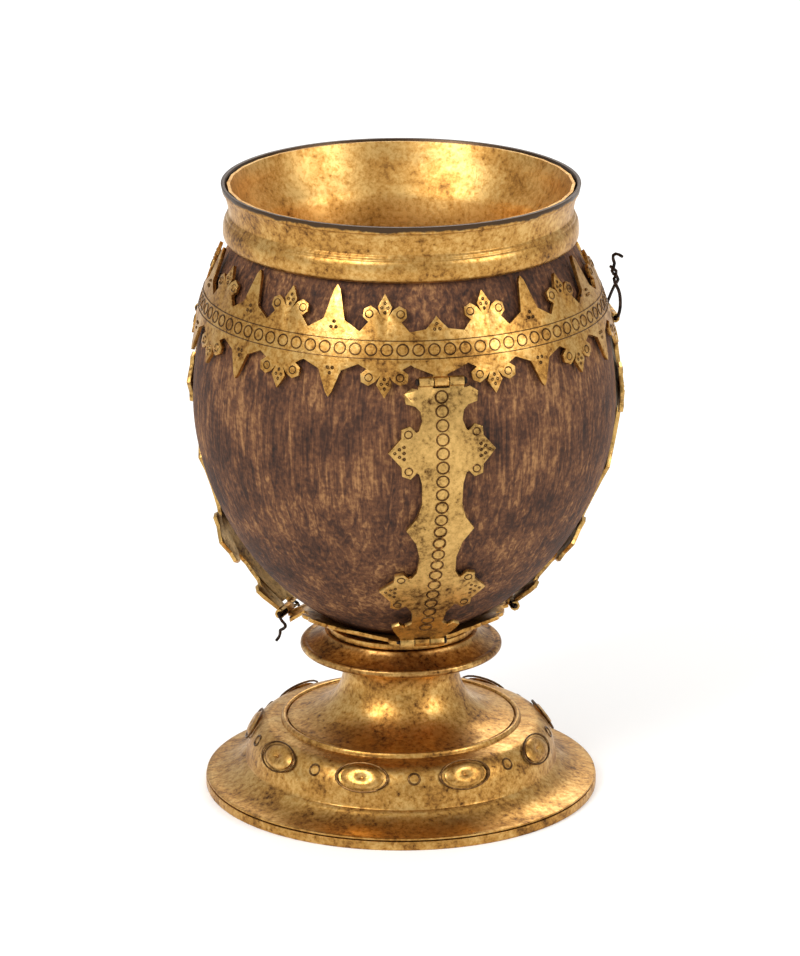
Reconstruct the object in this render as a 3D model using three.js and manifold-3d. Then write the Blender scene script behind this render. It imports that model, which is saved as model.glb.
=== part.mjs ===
// Mounted coconut cup: a polished coconut shell held between a gilt-copper lip collar and a
// turned gilt-copper foot by a pierced strapwork band and three hinged straps.
// Millimetres, +Z up. The origin is on the foot's axis, at the height the cup stands on.
// Azimuths are in degrees, from the front (-Y) towards the right (+X).
import * as THREE from "three";
import { mergeVertices } from "three/addons/utils/BufferGeometryUtils.js";
import Module from "manifold-3d";

const wasm = await Module();
wasm.setup();

// Clearances
const SEAT_GAP = 0.3; // between two pieces that rest on each other
const NUT_GAP = 0.5; // between the shell and the calyx plate that carries it

// Foot
const BASE_RING_OUTER = 53.6;
const BASE_RING_WIDTH = 3.0;
const BASE_RING_HEIGHT = 2.5;
const FOOT_HEIGHT = 15.4;
const FOOT_WALL = 1.2;
const FOOT_EDGE_ROUND = 0.5;
const DOME_RADIUS = 42.5;
const DOME_FOOT_HEIGHT = 5.4; // of the dome's widest place above the flange's underside
const DOME_STEP = 1.2;
const BEAD_HEIGHT = 1.4;
const BEAD_WIDTH = 1.6;

// Spool, disc and neck of the stem
const SPOOL_RIM_RADIUS = 31.0;
const SPOOL_LAP = 2.6; // how far the spool's rim laps over the foot
const SPOOL_HEIGHT = 18.5;
const SPOOL_WAIST_RADIUS = 15.9;
const SPOOL_TOP_RADIUS = 17.4;
const SPOOL_WALL = 1.2;
const SPOOL_RIM_THICKNESS = 0.9;
const DISC_RADIUS = 27.5;
const DISC_HEIGHT = 7.2;
const DISC_EDGE_HEIGHT = 2.9; // of the rounded edge's centre above the disc's underside
const DISC_EDGE_ROUND = 1.1;
const DISC_RECESS_DEPTH = 3.3;
const NECK_RADIUS = 20.0;
const NECK_WALL = 2.6;
const NECK_HEIGHT = 1.5;

// Coconut shell
const NUT_RADIUS = 56.9;
const NUT_LOWER = 65.5; // from the widest place down to the bottom
const NUT_UPPER = 74.0; // half height of the ellipse that the upper part follows
const NUT_LOWER_POWER = 1.815; // 2 is an ellipse, less is more pointed
const NUT_HEIGHT = 112.5; // from the bottom to the cut mouth
const NUT_WALL = 3.4;
const NUT_SHIFT = 0.8; // the nut bulges to the right of the foot's axis
const NUT_RIDGE = 0.006; // share of the radius by which the three natural ridges stand out
const NUT_RIDGE_AZIMUTH = 70;

// Lip
const COLLAR_OVERLAP = 1.8; // how far the collar comes down over the cut edge
const COLLAR_HEIGHT = 15.4;
const COLLAR_WALL = 0.9;
const LIP_RADIUS = 48.0;
const LIP_EDGE_HEIGHT = 2.0;
const COLLAR_THROAT_HEIGHT = 7.4; // of the narrowest place above the collar's lower edge
const SLEEVE_DEPTH = 26.0; // of the lining below the cut edge
const SLEEVE_WALL = 0.8;

// Pierced band
const BAND_HEIGHT = 94.4; // of the strip's middle above the nut's bottom
const BAND_THICKNESS = 1.0;
const BAND_STANDOFF = 0.8;
const BAND_FLARE = 0.5; // extra standoff at the tips
const BAND_PERIODS = 12; // a lily and a spike each
const BAND_COLUMN = 15; // degrees between the bends of the sheet
const FIRST_SPIKE_AZIMUTH = 10;
const LILY_TOP = 14.3;
const LILY_BOTTOM = 12.3;
const SPIKE_TOP = 16.1;
const SPIKE_BOTTOM = 12.7;
const SHORT_SPIKE_TOP = 8.6;
const ARCH_TOP = 4.5; // half height of the band where it is narrowest, above the middle
const ARCH_BOTTOM = 3.8;
const SCROLL_RADIUS = 2.1;
const SCROLL_REACH = 4.1; // of a lily's scroll centre from the lily's axis

// Hinged straps
const STRAP_THICKNESS = 1.1;
const STRAP_STANDOFF = 1.0;
const STRAP_CROSS_RADIUS = 80; // of the strap's curve across its width
const STRAP_LENGTH = 85.6; // from hinge axis to hinge axis along the sheet
const STRAP_LOBE_REACH = 14.3;
const STRAP_LOBE_PLACES = [18.3, 62.6];
const STRAP_POINT_PLACE = 40.5;
const STRAP_POINT_REACH = 9.0;
const STRAP_WAIST = 5.3;
const STRAP_SCROLL_RADIUS = 2.15;
const STRAP_SCROLL_REACH = 9.0;
const STRAP_SCROLL_SPACING = 4.9; // of a scroll's centre from the lobe that it flanks

// Hinges: three knuckles on a pin
const HINGE_DROP = 8.1; // of the upper hinge below the band's middle
const HINGE_RISE = 1.4; // of the pin above the strap's inner face
const KNUCKLE_RADIUS = 1.35;
const KNUCKLE_BORE = 0.75;
const KNUCKLE_HALF = 1.9; // half length of the middle knuckle
const KNUCKLE_END = 5.9; // outer end of the outer knuckles
const KNUCKLE_GAP = 0.3;
const SHEET_REACH = 0.9; // how far from the pin a sheet's edge stops inside its knuckle
const PIN_RADIUS = 0.5;
const PIN_HEAD_RADIUS = 1.0;
const PIN_HEAD_LENGTH = 0.6;
const WIRE_RADIUS = 0.45;

// Calyx plate under the nut
const CALYX_THICKNESS = 1.0;
const CALYX_EDGE_RADIUS = 26.4;
const CALYX_LOBE_REACH = 32.0;
const CALYX_SCROLL_REACH = 30.4;
const CALYX_ARM_HALF = 3.4;
const CALYX_RISE = 0.32; // slope of the free part of the plate

// Bolt through the stem
const BOLT_RADIUS = 2.5;
const BOLT_CLEARANCE = 0.5;
const BOLT_HEAD_RADIUS = 4.6;
const BOLT_HEAD_HEIGHT = 2.8;
const WASHER_RADIUS = 9.0;
const WASHER_THICKNESS = 1.4;
const FOOT_PLATE_THICKNESS = 1.3;
const FOOT_NUT_SIDE = 10.0;
const FOOT_NUT_HEIGHT = 4.6;
const BOLT_TAIL = 2.2; // of thread below the foot nut

// Straps: azimuth, and how far the lower hinge hangs off the nut
const STRAPS = [
  { name: "front", azimuth: 10, lowerStandoff: 2.2, bowStart: 0.62 },
  { name: "right", azimuth: 100, lowerStandoff: 2.2, bowStart: 0.62 },
  { name: "left", azimuth: -110, lowerStandoff: 7.2, bowStart: 0.2 },
];

const ROUND = 32; // facets round a large piece
const SMALL_ROUND = 8; // facets round a knuckle or a pin

// Heights, worked up from the base
const footZ = BASE_RING_HEIGHT + SEAT_GAP;
const footTopZ = footZ + FOOT_HEIGHT;
const spoolZ = footTopZ + SEAT_GAP;
const spoolTopZ = spoolZ + SPOOL_HEIGHT;
const discZ = spoolTopZ + SEAT_GAP;
const discTopZ = discZ + DISC_HEIGHT;
const neckZ = discTopZ + SEAT_GAP;
const neckTopZ = neckZ + NECK_HEIGHT;
const neckInner = NECK_RADIUS - NECK_WALL;
const nutZ = neckTopZ + SEAT_GAP + CALYX_THICKNESS * 1.1 + NUT_GAP - nutRise(neckInner);
const nutEquatorZ = nutZ + NUT_LOWER;
const nutTopZ = nutZ + NUT_HEIGHT;
const bandZ = nutZ + BAND_HEIGHT;
const collarZ = nutTopZ - COLLAR_OVERLAP;
const lipZ = collarZ + COLLAR_HEIGHT;
const boltHole = BOLT_RADIUS + BOLT_CLEARANCE;

const radians = THREE.MathUtils.degToRad;
const clamp = THREE.MathUtils.clamp;
const smoothstep = THREE.MathUtils.smoothstep;

// The nut's form

/** Height of the nut's outside above its bottom, at a radius in its lower half. */
function nutRise(radius) {
  const share = 1 - (radius / NUT_RADIUS) ** NUT_LOWER_POWER;
  return NUT_LOWER * (1 - share ** (1 / NUT_LOWER_POWER));
}

/** Outer radius of the nut at a height, before its bulge and ridges. */
function nutRadius(z) {
  const above = z > nutEquatorZ;
  const power = above ? 2 : NUT_LOWER_POWER;
  const share = Math.min(Math.abs(z - nutEquatorZ) / (above ? NUT_UPPER : NUT_LOWER), 1);
  return NUT_RADIUS * (1 - share ** power) ** (1 / power);
}

/** How the radius changes with height. */
function nutSlope(z) {
  const step = 0.01;
  return (nutRadius(z + step) - nutRadius(z - step)) / (2 * step);
}

/** The height reached by walking the nut's outside from a height, up if the distance is positive. */
function walkNut(fromZ, distance) {
  const steps = Math.max(1, Math.ceil(Math.abs(distance) / 0.5));
  let z = fromZ;
  for (let i = 0; i < steps; i++) z += distance / steps / Math.hypot(1, nutSlope(z));
  return z;
}

/** How much of the nut's bulge and ridges shows at a height: none where the mounts grip it. */
function nutFreedom(z) {
  const share = clamp((z - nutZ) / NUT_HEIGHT, 0, 1);
  return 4 * share * (1 - share);
}

/** Moves a point of a round nut to its place on the natural one. */
function growPoint(point) {
  const azimuth = Math.atan2(point.x, -point.y);
  const freedom = nutFreedom(point.z);
  const ridge = 1 + NUT_RIDGE * freedom * Math.cos(3 * (azimuth - radians(NUT_RIDGE_AZIMUTH)));
  return point.set(point.x * ridge + NUT_SHIFT * freedom, point.y * ridge, point.z);
}

/** A point off the nut's outside: azimuth in degrees, height, and distance along the normal. */
function nutPoint(azimuth, z, standoff) {
  const tilt = Math.hypot(1, nutSlope(z));
  const radius = nutRadius(z);
  const a = radians(azimuth);
  const onNut = growPoint(new THREE.Vector3(radius * Math.sin(a), -radius * Math.cos(a), z));
  const out = new THREE.Vector3(Math.sin(a), -Math.cos(a), -nutSlope(z)).divideScalar(tilt);
  return onNut.addScaledVector(out, standoff);
}

// Solids

/** A geometry as a manifold-3d solid. */
function solid(geometry) {
  const bare = geometry.index ? geometry.toNonIndexed() : geometry.clone();
  bare.deleteAttribute("normal");
  bare.deleteAttribute("uv");
  const merged = mergeVertices(bare, 1e-4);
  return new wasm.Manifold(
    new wasm.Mesh({
      numProp: 3,
      vertProperties: merged.attributes.position.array,
      triVerts: new Uint32Array(merged.index.array),
    }),
  );
}

/** A manifold-3d solid as a geometry. */
function geometryOf(made) {
  const mesh = made.getMesh();
  return new THREE.BufferGeometry()
    .setAttribute("position", new THREE.BufferAttribute(mesh.vertProperties, 3))
    .setIndex(new THREE.BufferAttribute(mesh.triVerts, 1));
}

/** Turns a closed profile of radius and height about the Z axis. */
function revolve(profile, segments = ROUND, steps = 2) {
  const points = profile.getPoints(steps);
  if (points[0].distanceTo(points.at(-1)) > 1e-6) points.push(points[0].clone());
  return new THREE.LatheGeometry(points, segments).rotateX(Math.PI / 2);
}

/** A path from a start point; each further entry is a point, or a control point and an end point. */
function pathOf(start, ...moves) {
  const path = new THREE.Path().moveTo(...start);
  for (const move of moves) {
    if (move.length === 2) path.lineTo(...move);
    else path.quadraticCurveTo(...move);
  }
  return path;
}

/** Cuts convex polygons along the line where the chosen coordinate has the given value. */
function cutPolygons(polygons, coordinate, value) {
  const pieces = [];
  for (const polygon of polygons) {
    const low = [];
    const high = [];
    polygon.forEach((point, i) => {
      const next = polygon[(i + 1) % polygon.length];
      const here = point[coordinate] - value;
      const there = next[coordinate] - value;
      if (here <= 1e-7) low.push(point);
      if (here >= -1e-7) high.push(point);
      if (Math.abs(here) > 1e-7 && Math.abs(there) > 1e-7 && here * there < 0) {
        const crossing = point.clone().lerp(next, here / (here - there));
        low.push(crossing);
        high.push(crossing);
      }
    });
    if (low.length > 2) pieces.push(low);
    if (high.length > 2) pieces.push(high);
  }
  return pieces;
}

/**
 * Bends flat sheet metal. Outlines are cut from a flat sheet, creased where the cuts say, and each
 * point is set by place(x, y, 0) on the inner face and place(x, y, 1) on the outer one.
 */
function bentSheet(outlines, { cutX = [], cutY = [], place, period = Infinity }) {
  const keyOf = (p) => {
    const x = Number.isFinite(period) ? ((p.x % period) + period) % period : p.x;
    const wrapped = Math.abs(x - period) < 1e-4 ? 0 : x;
    return `${Math.round(wrapped * 1e3)},${Math.round(p.y * 1e3)}`;
  };
  const corners = new Map();
  const flat = [];
  const indexOf = (p) => {
    const key = keyOf(p);
    if (!corners.has(key)) {
      corners.set(key, flat.length);
      flat.push(p);
    }
    return corners.get(key);
  };
  const triangles = [];
  for (const outline of outlines) {
    const ring = THREE.ShapeUtils.isClockWise(outline) ? [...outline].reverse() : outline;
    let polygons = THREE.ShapeUtils.triangulateShape(ring, []).map((t) => t.map((i) => ring[i]));
    for (const x of cutX) polygons = cutPolygons(polygons, "x", x);
    for (const y of cutY) polygons = cutPolygons(polygons, "y", y);
    for (const polygon of polygons) {
      const ids = polygon.map(indexOf).filter((id, i, all) => id !== all[(i + 1) % all.length]);
      for (let i = 2; i < ids.length; i++) triangles.push([ids[0], ids[i - 1], ids[i]]);
    }
  }
  const edges = new Set(triangles.flatMap(([a, b, c]) => [`${a},${b}`, `${b},${c}`, `${c},${a}`]));
  const index = [];
  const outer = flat.length;
  for (const [a, b, c] of triangles) {
    index.push(a + outer, b + outer, c + outer, a, c, b);
    for (const [from, to] of [[a, b], [b, c], [c, a]]) {
      if (edges.has(`${to},${from}`)) continue;
      index.push(from, to, to + outer, from, to + outer, from + outer);
    }
  }
  const points = [0, 1].flatMap((side) => flat.map((p) => place(p.x, p.y, side)));
  return new THREE.BufferGeometry().setFromPoints(points).setIndex(index);
}

/** Evenly spaced values strictly between two ends, no further apart than the spacing. */
function between(low, high, spacing) {
  const count = Math.ceil((high - low) / spacing);
  return Array.from({ length: count - 1 }, (_, i) => low + ((high - low) * (i + 1)) / count);
}

/** Points of an arc, from one angle to another in degrees, going the way the angles go. */
function arc(x, y, radius, fromAngle, toAngle, steps) {
  return Array.from({ length: steps + 1 }, (_, i) => {
    const a = radians(fromAngle + ((toAngle - fromAngle) * i) / steps);
    return new THREE.Vector2(x + radius * Math.cos(a), y + radius * Math.sin(a));
  });
}

/** Points of a quadratic curve from a start, by a control point, to an end, without its start. */
function bend(start, control, end, steps) {
  const curve = new THREE.QuadraticBezierCurve(
    new THREE.Vector2(...start),
    new THREE.Vector2(...control),
    new THREE.Vector2(...end),
  );
  return curve.getPoints(steps).slice(1);
}

const at = (x, y) => new THREE.Vector2(x, y);

// Foot, spool, disc and neck

function baseRing() {
  const inner = BASE_RING_OUTER - BASE_RING_WIDTH;
  const round = FOOT_EDGE_ROUND;
  return revolve(
    pathOf(
      [inner, 0],
      [BASE_RING_OUTER - round, 0],
      [BASE_RING_OUTER, 0, BASE_RING_OUTER, round],
      [BASE_RING_OUTER, BASE_RING_HEIGHT],
      [inner, BASE_RING_HEIGHT],
      [inner, 0],
    ),
  );
}

/** The raised foot: a hollow flange, a step, a domed shoulder and a bead round the spool. */
function foot() {
  const edge = BASE_RING_OUTER - 0.2;
  const domeZ = footZ + DOME_FOOT_HEIGHT;
  const stepZ = domeZ - DOME_STEP;
  const beadInner = SPOOL_RIM_RADIUS + SEAT_GAP;
  const beadOuter = beadInner + BEAD_WIDTH;
  const top = footTopZ + 0.3;
  const lapInner = SPOOL_RIM_RADIUS - SPOOL_LAP;
  const shoulder = beadOuter + 3.2;
  const under = footTopZ - FOOT_WALL;
  const domeInner = DOME_RADIUS - FOOT_WALL;
  return revolve(
    pathOf(
      [edge - FOOT_WALL, footZ],
      [edge, footZ],
      [edge, footZ + 0.5],
      [DOME_RADIUS + 5.2, footZ + 0.9, DOME_RADIUS + DOME_STEP + 0.3, stepZ - 0.4],
      [DOME_RADIUS + DOME_STEP, stepZ],
      [DOME_RADIUS + 0.2, stepZ + 0.4],
      [DOME_RADIUS, domeZ],
      [DOME_RADIUS - 0.7, top - 0.9, shoulder, top - 0.2],
      [beadOuter, top],
      [beadOuter - BEAD_WIDTH / 4, footTopZ + BEAD_HEIGHT, beadInner + BEAD_WIDTH / 4, footTopZ + BEAD_HEIGHT],
      [beadInner, footTopZ + BEAD_HEIGHT / 2],
      [beadInner, footTopZ],
      [lapInner, footTopZ],
      [lapInner, under],
      [shoulder - 0.6, under],
      [domeInner - 0.9, under - 0.5, domeInner, domeZ],
      [domeInner, stepZ - 0.3],
      [DOME_RADIUS + DOME_STEP, stepZ - 0.9 - FOOT_WALL],
      [DOME_RADIUS + 4.6, footZ + 0.3, edge - FOOT_WALL, footZ],
    ),
  );
}

/** The trumpet-shaped spool, hollow, its rim lapping over the foot. */
function spool() {
  const rimTop = spoolZ + SPOOL_RIM_THICKNESS;
  const waistZ = spoolZ + SPOOL_HEIGHT * 0.72;
  const inner = SPOOL_WAIST_RADIUS - SPOOL_WALL;
  return revolve(
    pathOf(
      [SPOOL_RIM_RADIUS - SPOOL_LAP, spoolZ],
      [SPOOL_RIM_RADIUS, spoolZ],
      [SPOOL_RIM_RADIUS, rimTop],
      [SPOOL_WAIST_RADIUS + 1.6, rimTop + 1.6, SPOOL_WAIST_RADIUS, waistZ],
      [SPOOL_WAIST_RADIUS, spoolTopZ - 1.6, SPOOL_TOP_RADIUS, spoolTopZ],
      [SPOOL_TOP_RADIUS - 2 * SPOOL_WALL, spoolTopZ],
      [inner, spoolTopZ - 2.2, inner, waistZ],
      [inner + 1.6, rimTop + 0.6, SPOOL_RIM_RADIUS - SPOOL_LAP, spoolZ],
    ),
    28,
    3,
  );
}

/** The turned disc of the stem, with a recess above for the nut's bottom. */
function disc() {
  const edgeZ = discZ + DISC_EDGE_HEIGHT;
  const edge = DISC_RADIUS - DISC_EDGE_ROUND;
  const recess = neckInner - 1.0;
  const recessZ = discTopZ - DISC_RECESS_DEPTH;
  return revolve(
    pathOf(
      [boltHole, discZ],
      [SPOOL_TOP_RADIUS + 0.4, discZ],
      [SPOOL_TOP_RADIUS + 1.0, discZ + 1.0, edge - 0.6, edgeZ - DISC_EDGE_ROUND],
      [DISC_RADIUS, edgeZ - DISC_EDGE_ROUND, DISC_RADIUS, edgeZ],
      [DISC_RADIUS, edgeZ + DISC_EDGE_ROUND, edge, edgeZ + DISC_EDGE_ROUND],
      [edge - 0.8, edgeZ + DISC_EDGE_ROUND - 0.3],
      [NECK_RADIUS + 1.4, discTopZ - 1.7, NECK_RADIUS + 0.8, discTopZ],
      [recess, discTopZ],
      [recess - 0.6, recessZ],
      [boltHole, recessZ],
      [boltHole, discZ],
    ),
    32,
    2,
  );
}

function neckRing() {
  return revolve(
    pathOf([neckInner, neckZ], [NECK_RADIUS, neckZ], [NECK_RADIUS, neckTopZ], [neckInner, neckTopZ], [neckInner, neckZ]),
    32,
  );
}

// The coconut shell

/** Radius and height of points up the nut's outside, evenly spaced in angle. */
function nutOutside(fromRadius, lowerSteps, upperSteps) {
  const startZ = nutZ + nutRise(fromRadius);
  const startAngle = Math.asin(clamp(((nutEquatorZ - startZ) / NUT_LOWER) ** (NUT_LOWER_POWER / 2), 0, 1));
  const topAngle = Math.asin((nutTopZ - nutEquatorZ) / NUT_UPPER);
  const heights = [];
  for (let i = 0; i < lowerSteps; i++) {
    const angle = startAngle * (1 - i / lowerSteps);
    heights.push(nutEquatorZ - NUT_LOWER * Math.sin(angle) ** (2 / NUT_LOWER_POWER));
  }
  for (let i = 0; i <= upperSteps; i++) {
    heights.push(nutEquatorZ + NUT_UPPER * Math.sin((topAngle * i) / upperSteps));
  }
  return heights.map((z) => at(nutRadius(z), z));
}

function coconutShell() {
  const outside = nutOutside(boltHole, 8, 5);
  outside[0].x = boltHole;
  const inside = nutOutside(boltHole + 5, 6, 3).map((p) => {
    const tilt = Math.hypot(1, nutSlope(p.y));
    return at(p.x - NUT_WALL / tilt, p.y + (NUT_WALL * nutSlope(p.y)) / tilt);
  });
  inside[0].x = boltHole;
  inside.at(-1).y = nutTopZ;
  const points = [...outside, ...inside.reverse(), outside[0].clone()];
  const geometry = new THREE.LatheGeometry(points, ROUND).rotateX(Math.PI / 2);
  const place = geometry.attributes.position;
  const point = new THREE.Vector3();
  for (let i = 0; i < place.count; i++) {
    growPoint(point.fromBufferAttribute(place, i));
    place.setXYZ(i, point.x, point.y, point.z);
  }
  return geometry;
}

// Lip collar and sleeve

/** The raised collar: a hollow bead over the nut's cut edge, a throat and a flared lip. */
function lipCollar() {
  const grip = nutRadius(collarZ) + SEAT_GAP + 0.1;
  const bead = grip + COLLAR_WALL + 1.2;
  const throatZ = collarZ + COLLAR_THROAT_HEIGHT;
  const throat = grip + 0.5;
  const stepZ = throatZ - 1.0;
  const edgeZ = lipZ - LIP_EDGE_HEIGHT;
  const lipWall = COLLAR_WALL + 0.1;
  return revolve(
    pathOf(
      [grip, collarZ],
      [grip + COLLAR_WALL, collarZ],
      [bead + 0.1, collarZ + 0.4, bead, collarZ + 2.9],
      [bead - 0.1, stepZ - 0.8, throat + 0.7, stepZ - 0.3],
      [throat + 0.6, stepZ + 0.4],
      [throat, throatZ],
      [throat + 0.2, throatZ + 3.2, LIP_RADIUS - 0.7, edgeZ - 0.1],
      [LIP_RADIUS - 0.4, edgeZ],
      [LIP_RADIUS, lipZ],
      [LIP_RADIUS - lipWall, lipZ],
      [LIP_RADIUS - lipWall - 0.6, edgeZ],
      [throat - 0.7, throatZ + 3.2, throat - COLLAR_WALL, throatZ],
      [throat - COLLAR_WALL, stepZ],
      [bead - COLLAR_WALL - 0.1, stepZ - 1.4],
      [bead - COLLAR_WALL, collarZ + 2.6],
      [bead - COLLAR_WALL, collarZ + 1.1, grip, collarZ + 0.9],
    ),
  );
}

/** The lining: follows the collar's inside and hangs down inside the nut's mouth. */
function mouthSleeve() {
  const cut = nutRadius(nutTopZ) - NUT_WALL - 0.9;
  const throatZ = collarZ + COLLAR_THROAT_HEIGHT;
  const throat = nutRadius(collarZ) + SEAT_GAP + 0.6 - COLLAR_WALL - SEAT_GAP;
  const top = LIP_RADIUS - COLLAR_WALL - 0.1 - SEAT_GAP - 0.3;
  const topZ = lipZ - 0.5;
  const bottomZ = nutTopZ - SLEEVE_DEPTH;
  const wall = SLEEVE_WALL;
  return revolve(
    pathOf(
      [cut - 1.4, bottomZ],
      [cut - 1.4, nutTopZ - 9, cut, nutTopZ - 1.4],
      [cut + 0.4, nutTopZ + 1.4, throat - 0.9, throatZ],
      [throat - 0.2, throatZ + 3.4, top, topZ],
      [top - wall, topZ],
      [throat - wall - 0.2, throatZ + 3.2, throat - wall - 0.9, throatZ],
      [cut + 0.2 - wall, nutTopZ + 1.2, cut - wall, nutTopZ - 1.4],
      [cut - 1.4 - wall, nutTopZ - 9, cut - 1.4 - wall, bottomZ],
      [cut - 1.4, bottomZ],
    ),
  );
}

// Hinges

/** Axes of a hinge: where its pin's middle is, and the way along it, out of and down the sheet. */
function hingeFrame(strap, place) {
  const standoff = strapStandoff(strap, place) + HINGE_RISE;
  const z = walkNut(strapTopZ, -place);
  const middle = nutPoint(strap.azimuth, z, standoff);
  const step = 0.2;
  const before = nutPoint(strap.azimuth, walkNut(strapTopZ, step - place), strapStandoff(strap, place - step) + HINGE_RISE);
  const a = radians(strap.azimuth);
  const along = new THREE.Vector3(Math.cos(a), Math.sin(a), 0);
  const down = middle.clone().sub(before).normalize();
  const out = new THREE.Vector3().crossVectors(down, along).normalize();
  return { middle, along, out, down };
}

/** Turns a geometry whose X is out, Y is down the sheet and Z is along the pin into a hinge's place. */
function setInHinge(geometry, hinge) {
  const turn = new THREE.Matrix4().makeBasis(hinge.out, hinge.down, hinge.along);
  return geometry.applyMatrix4(turn.setPosition(hinge.middle));
}

/** A round bar or bore along a hinge's pin, between two places on it. */
function hingeRod(hinge, radius, from, to) {
  const round = new THREE.Shape(arc(0, 0, radius, 0, 360 - 360 / SMALL_ROUND, SMALL_ROUND - 1));
  const rod = new THREE.ExtrudeGeometry(round, { depth: to - from, bevelEnabled: false });
  return solid(setInHinge(rod.translate(0, 0, from), hinge));
}

/** The bore of an open knuckle: a bore with a slot that lets the pin leave against the swing. */
function openBore(hinge, swing, from, to) {
  const way = Math.atan2(-swing.dot(hinge.down), -swing.dot(hinge.out));
  const degrees = THREE.MathUtils.radToDeg(way);
  const far = 3 * KNUCKLE_RADIUS;
  const mouth = at(Math.cos(way), Math.sin(way)).multiplyScalar(far);
  const side = at(-Math.sin(way), Math.cos(way)).multiplyScalar(KNUCKLE_BORE);
  const shape = new THREE.Shape([
    mouth.clone().add(side),
    ...arc(0, 0, KNUCKLE_BORE, degrees + 90, degrees + 270, 6),
    mouth.clone().sub(side),
  ]);
  const cutter = new THREE.ExtrudeGeometry(shape, { depth: to - from, bevelEnabled: false });
  return solid(setInHinge(cutter.translate(0, 0, from), hinge));
}

/** A pin with a small head at each end, or at one end only. */
function hingePin(hinge, heads = 2) {
  const half = KNUCKLE_END + 0.25;
  const head = PIN_HEAD_RADIUS;
  const left = heads > 1 ? head : PIN_RADIUS;
  const profile = pathOf(
    [0, -half - PIN_HEAD_LENGTH],
    [left * 0.7, -half - PIN_HEAD_LENGTH],
    [left, -half - PIN_HEAD_LENGTH / 2],
    [left, -half],
    [PIN_RADIUS, -half],
    [PIN_RADIUS, half],
    [head, half],
    [head, half + PIN_HEAD_LENGTH / 2],
    [head * 0.7, half + PIN_HEAD_LENGTH],
    [0, half + PIN_HEAD_LENGTH],
  );
  return setInHinge(new THREE.LatheGeometry(profile.getPoints(1), SMALL_ROUND).rotateX(Math.PI / 2), hinge);
}

/** A bent wire: a round section drawn along smooth points in a hinge's frame (out, down, along). */
function hingeWire(hinge, points, steps) {
  const path = new THREE.CatmullRomCurve3(points.map((p) => new THREE.Vector3(...p)), false, "centripetal");
  const section = new THREE.Shape(arc(0, 0, WIRE_RADIUS, 0, 300, 5));
  return setInHinge(new THREE.ExtrudeGeometry(section, { extrudePath: path, steps }), hinge);
}

// The pierced band

const bandRadius = nutRadius(bandZ) + BAND_STANDOFF + BAND_THICKNESS / 2;
const halfPitch = (Math.PI * bandRadius) / BAND_PERIODS;
const bandDegrees = THREE.MathUtils.radToDeg(1 / bandRadius);
const strapTopZ = walkNut(bandZ, -HINGE_DROP);

/** Half of a lily's outline above or below the strip, from its tip to the arch beside it. */
function lilyHalf(tip, archHeight) {
  const head = tip - 5.2;
  const reach = SCROLL_REACH;
  const r = SCROLL_RADIUS;
  return [
    at(0, tip),
    ...bend([0, tip], [2.2, tip - 1.4], [2.0, tip - 3.4], 1),
    at(1.0, head - 0.6),
    ...arc(reach, head, r, 150, -80, 4),
    ...bend([reach - 0.3, head - 2.0], [reach - 1.2, archHeight + 0.2], [reach + 2.6, archHeight], 1),
  ];
}

/** Half of the band's outline between a lily's axis and the axis of the spike beside it. */
function bandHalf(hinged) {
  const spikeTip = hinged ? SHORT_SPIKE_TOP : SPIKE_TOP;
  const upper = [
    ...lilyHalf(LILY_TOP, ARCH_TOP),
    ...bend([SCROLL_REACH + 2.6, ARCH_TOP], [halfPitch - 1.9, ARCH_TOP], [halfPitch - 0.9, spikeTip - 1.2], 2),
    at(halfPitch, spikeTip),
  ];
  const lower = lilyHalf(LILY_BOTTOM, ARCH_BOTTOM);
  if (hinged) {
    const lugEnd = HINGE_DROP - SHEET_REACH;
    lower.push(at(halfPitch - KNUCKLE_END - 0.6, ARCH_BOTTOM + 0.6));
    lower.push(at(halfPitch - KNUCKLE_HALF - 0.6, HINGE_DROP - KNUCKLE_RADIUS - 0.7));
    lower.push(at(halfPitch - KNUCKLE_HALF, HINGE_DROP - KNUCKLE_RADIUS - 0.4));
    lower.push(at(halfPitch - KNUCKLE_HALF, lugEnd), at(halfPitch, lugEnd));
  } else {
    lower.push(
      ...bend([SCROLL_REACH + 2.6, ARCH_BOTTOM], [halfPitch - 1.9, ARCH_BOTTOM], [halfPitch - 0.8, SPIKE_BOTTOM - 1.2], 2),
      at(halfPitch, SPIKE_BOTTOM),
    );
  }
  return [...upper, ...lower.reverse().map((p) => at(p.x, -p.y))];
}

function strapworkBand() {
  const circle = 360;
  const pitch = circle / BAND_PERIODS;
  const outlines = [];
  for (let i = 0; i < BAND_PERIODS; i++) {
    const spike = FIRST_SPIKE_AZIMUTH + i * pitch;
    const hinged = STRAPS.some(({ azimuth }) => Math.abs(((azimuth - spike + 540) % circle) - 180) < pitch / 2);
    for (const side of [-1, 1]) {
      outlines.push(bandHalf(hinged).map((p) => at(spike - side * (halfPitch - p.x) * bandDegrees, p.y)));
    }
  }
  const low = FIRST_SPIKE_AZIMUTH - pitch;
  const sheet = bentSheet(outlines, {
    cutX: between(low, low + circle + pitch, BAND_COLUMN),
    cutY: [0],
    period: circle,
    place: (azimuth, height, side) => {
      const flare = BAND_FLARE * (height / SPIKE_TOP) ** 2;
      return nutPoint(azimuth, walkNut(bandZ, height), BAND_STANDOFF + flare + side * BAND_THICKNESS);
    },
  });
  let made = solid(sheet);
  for (const strap of STRAPS) {
    const hinge = hingeFrame(strap, 0);
    made = made.add(hingeRod(hinge, KNUCKLE_RADIUS, -KNUCKLE_HALF, KNUCKLE_HALF));
    made = made.subtract(hingeRod(hinge, KNUCKLE_BORE, -KNUCKLE_END, KNUCKLE_END));
  }
  return geometryOf(made);
}

// Hinged straps

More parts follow.
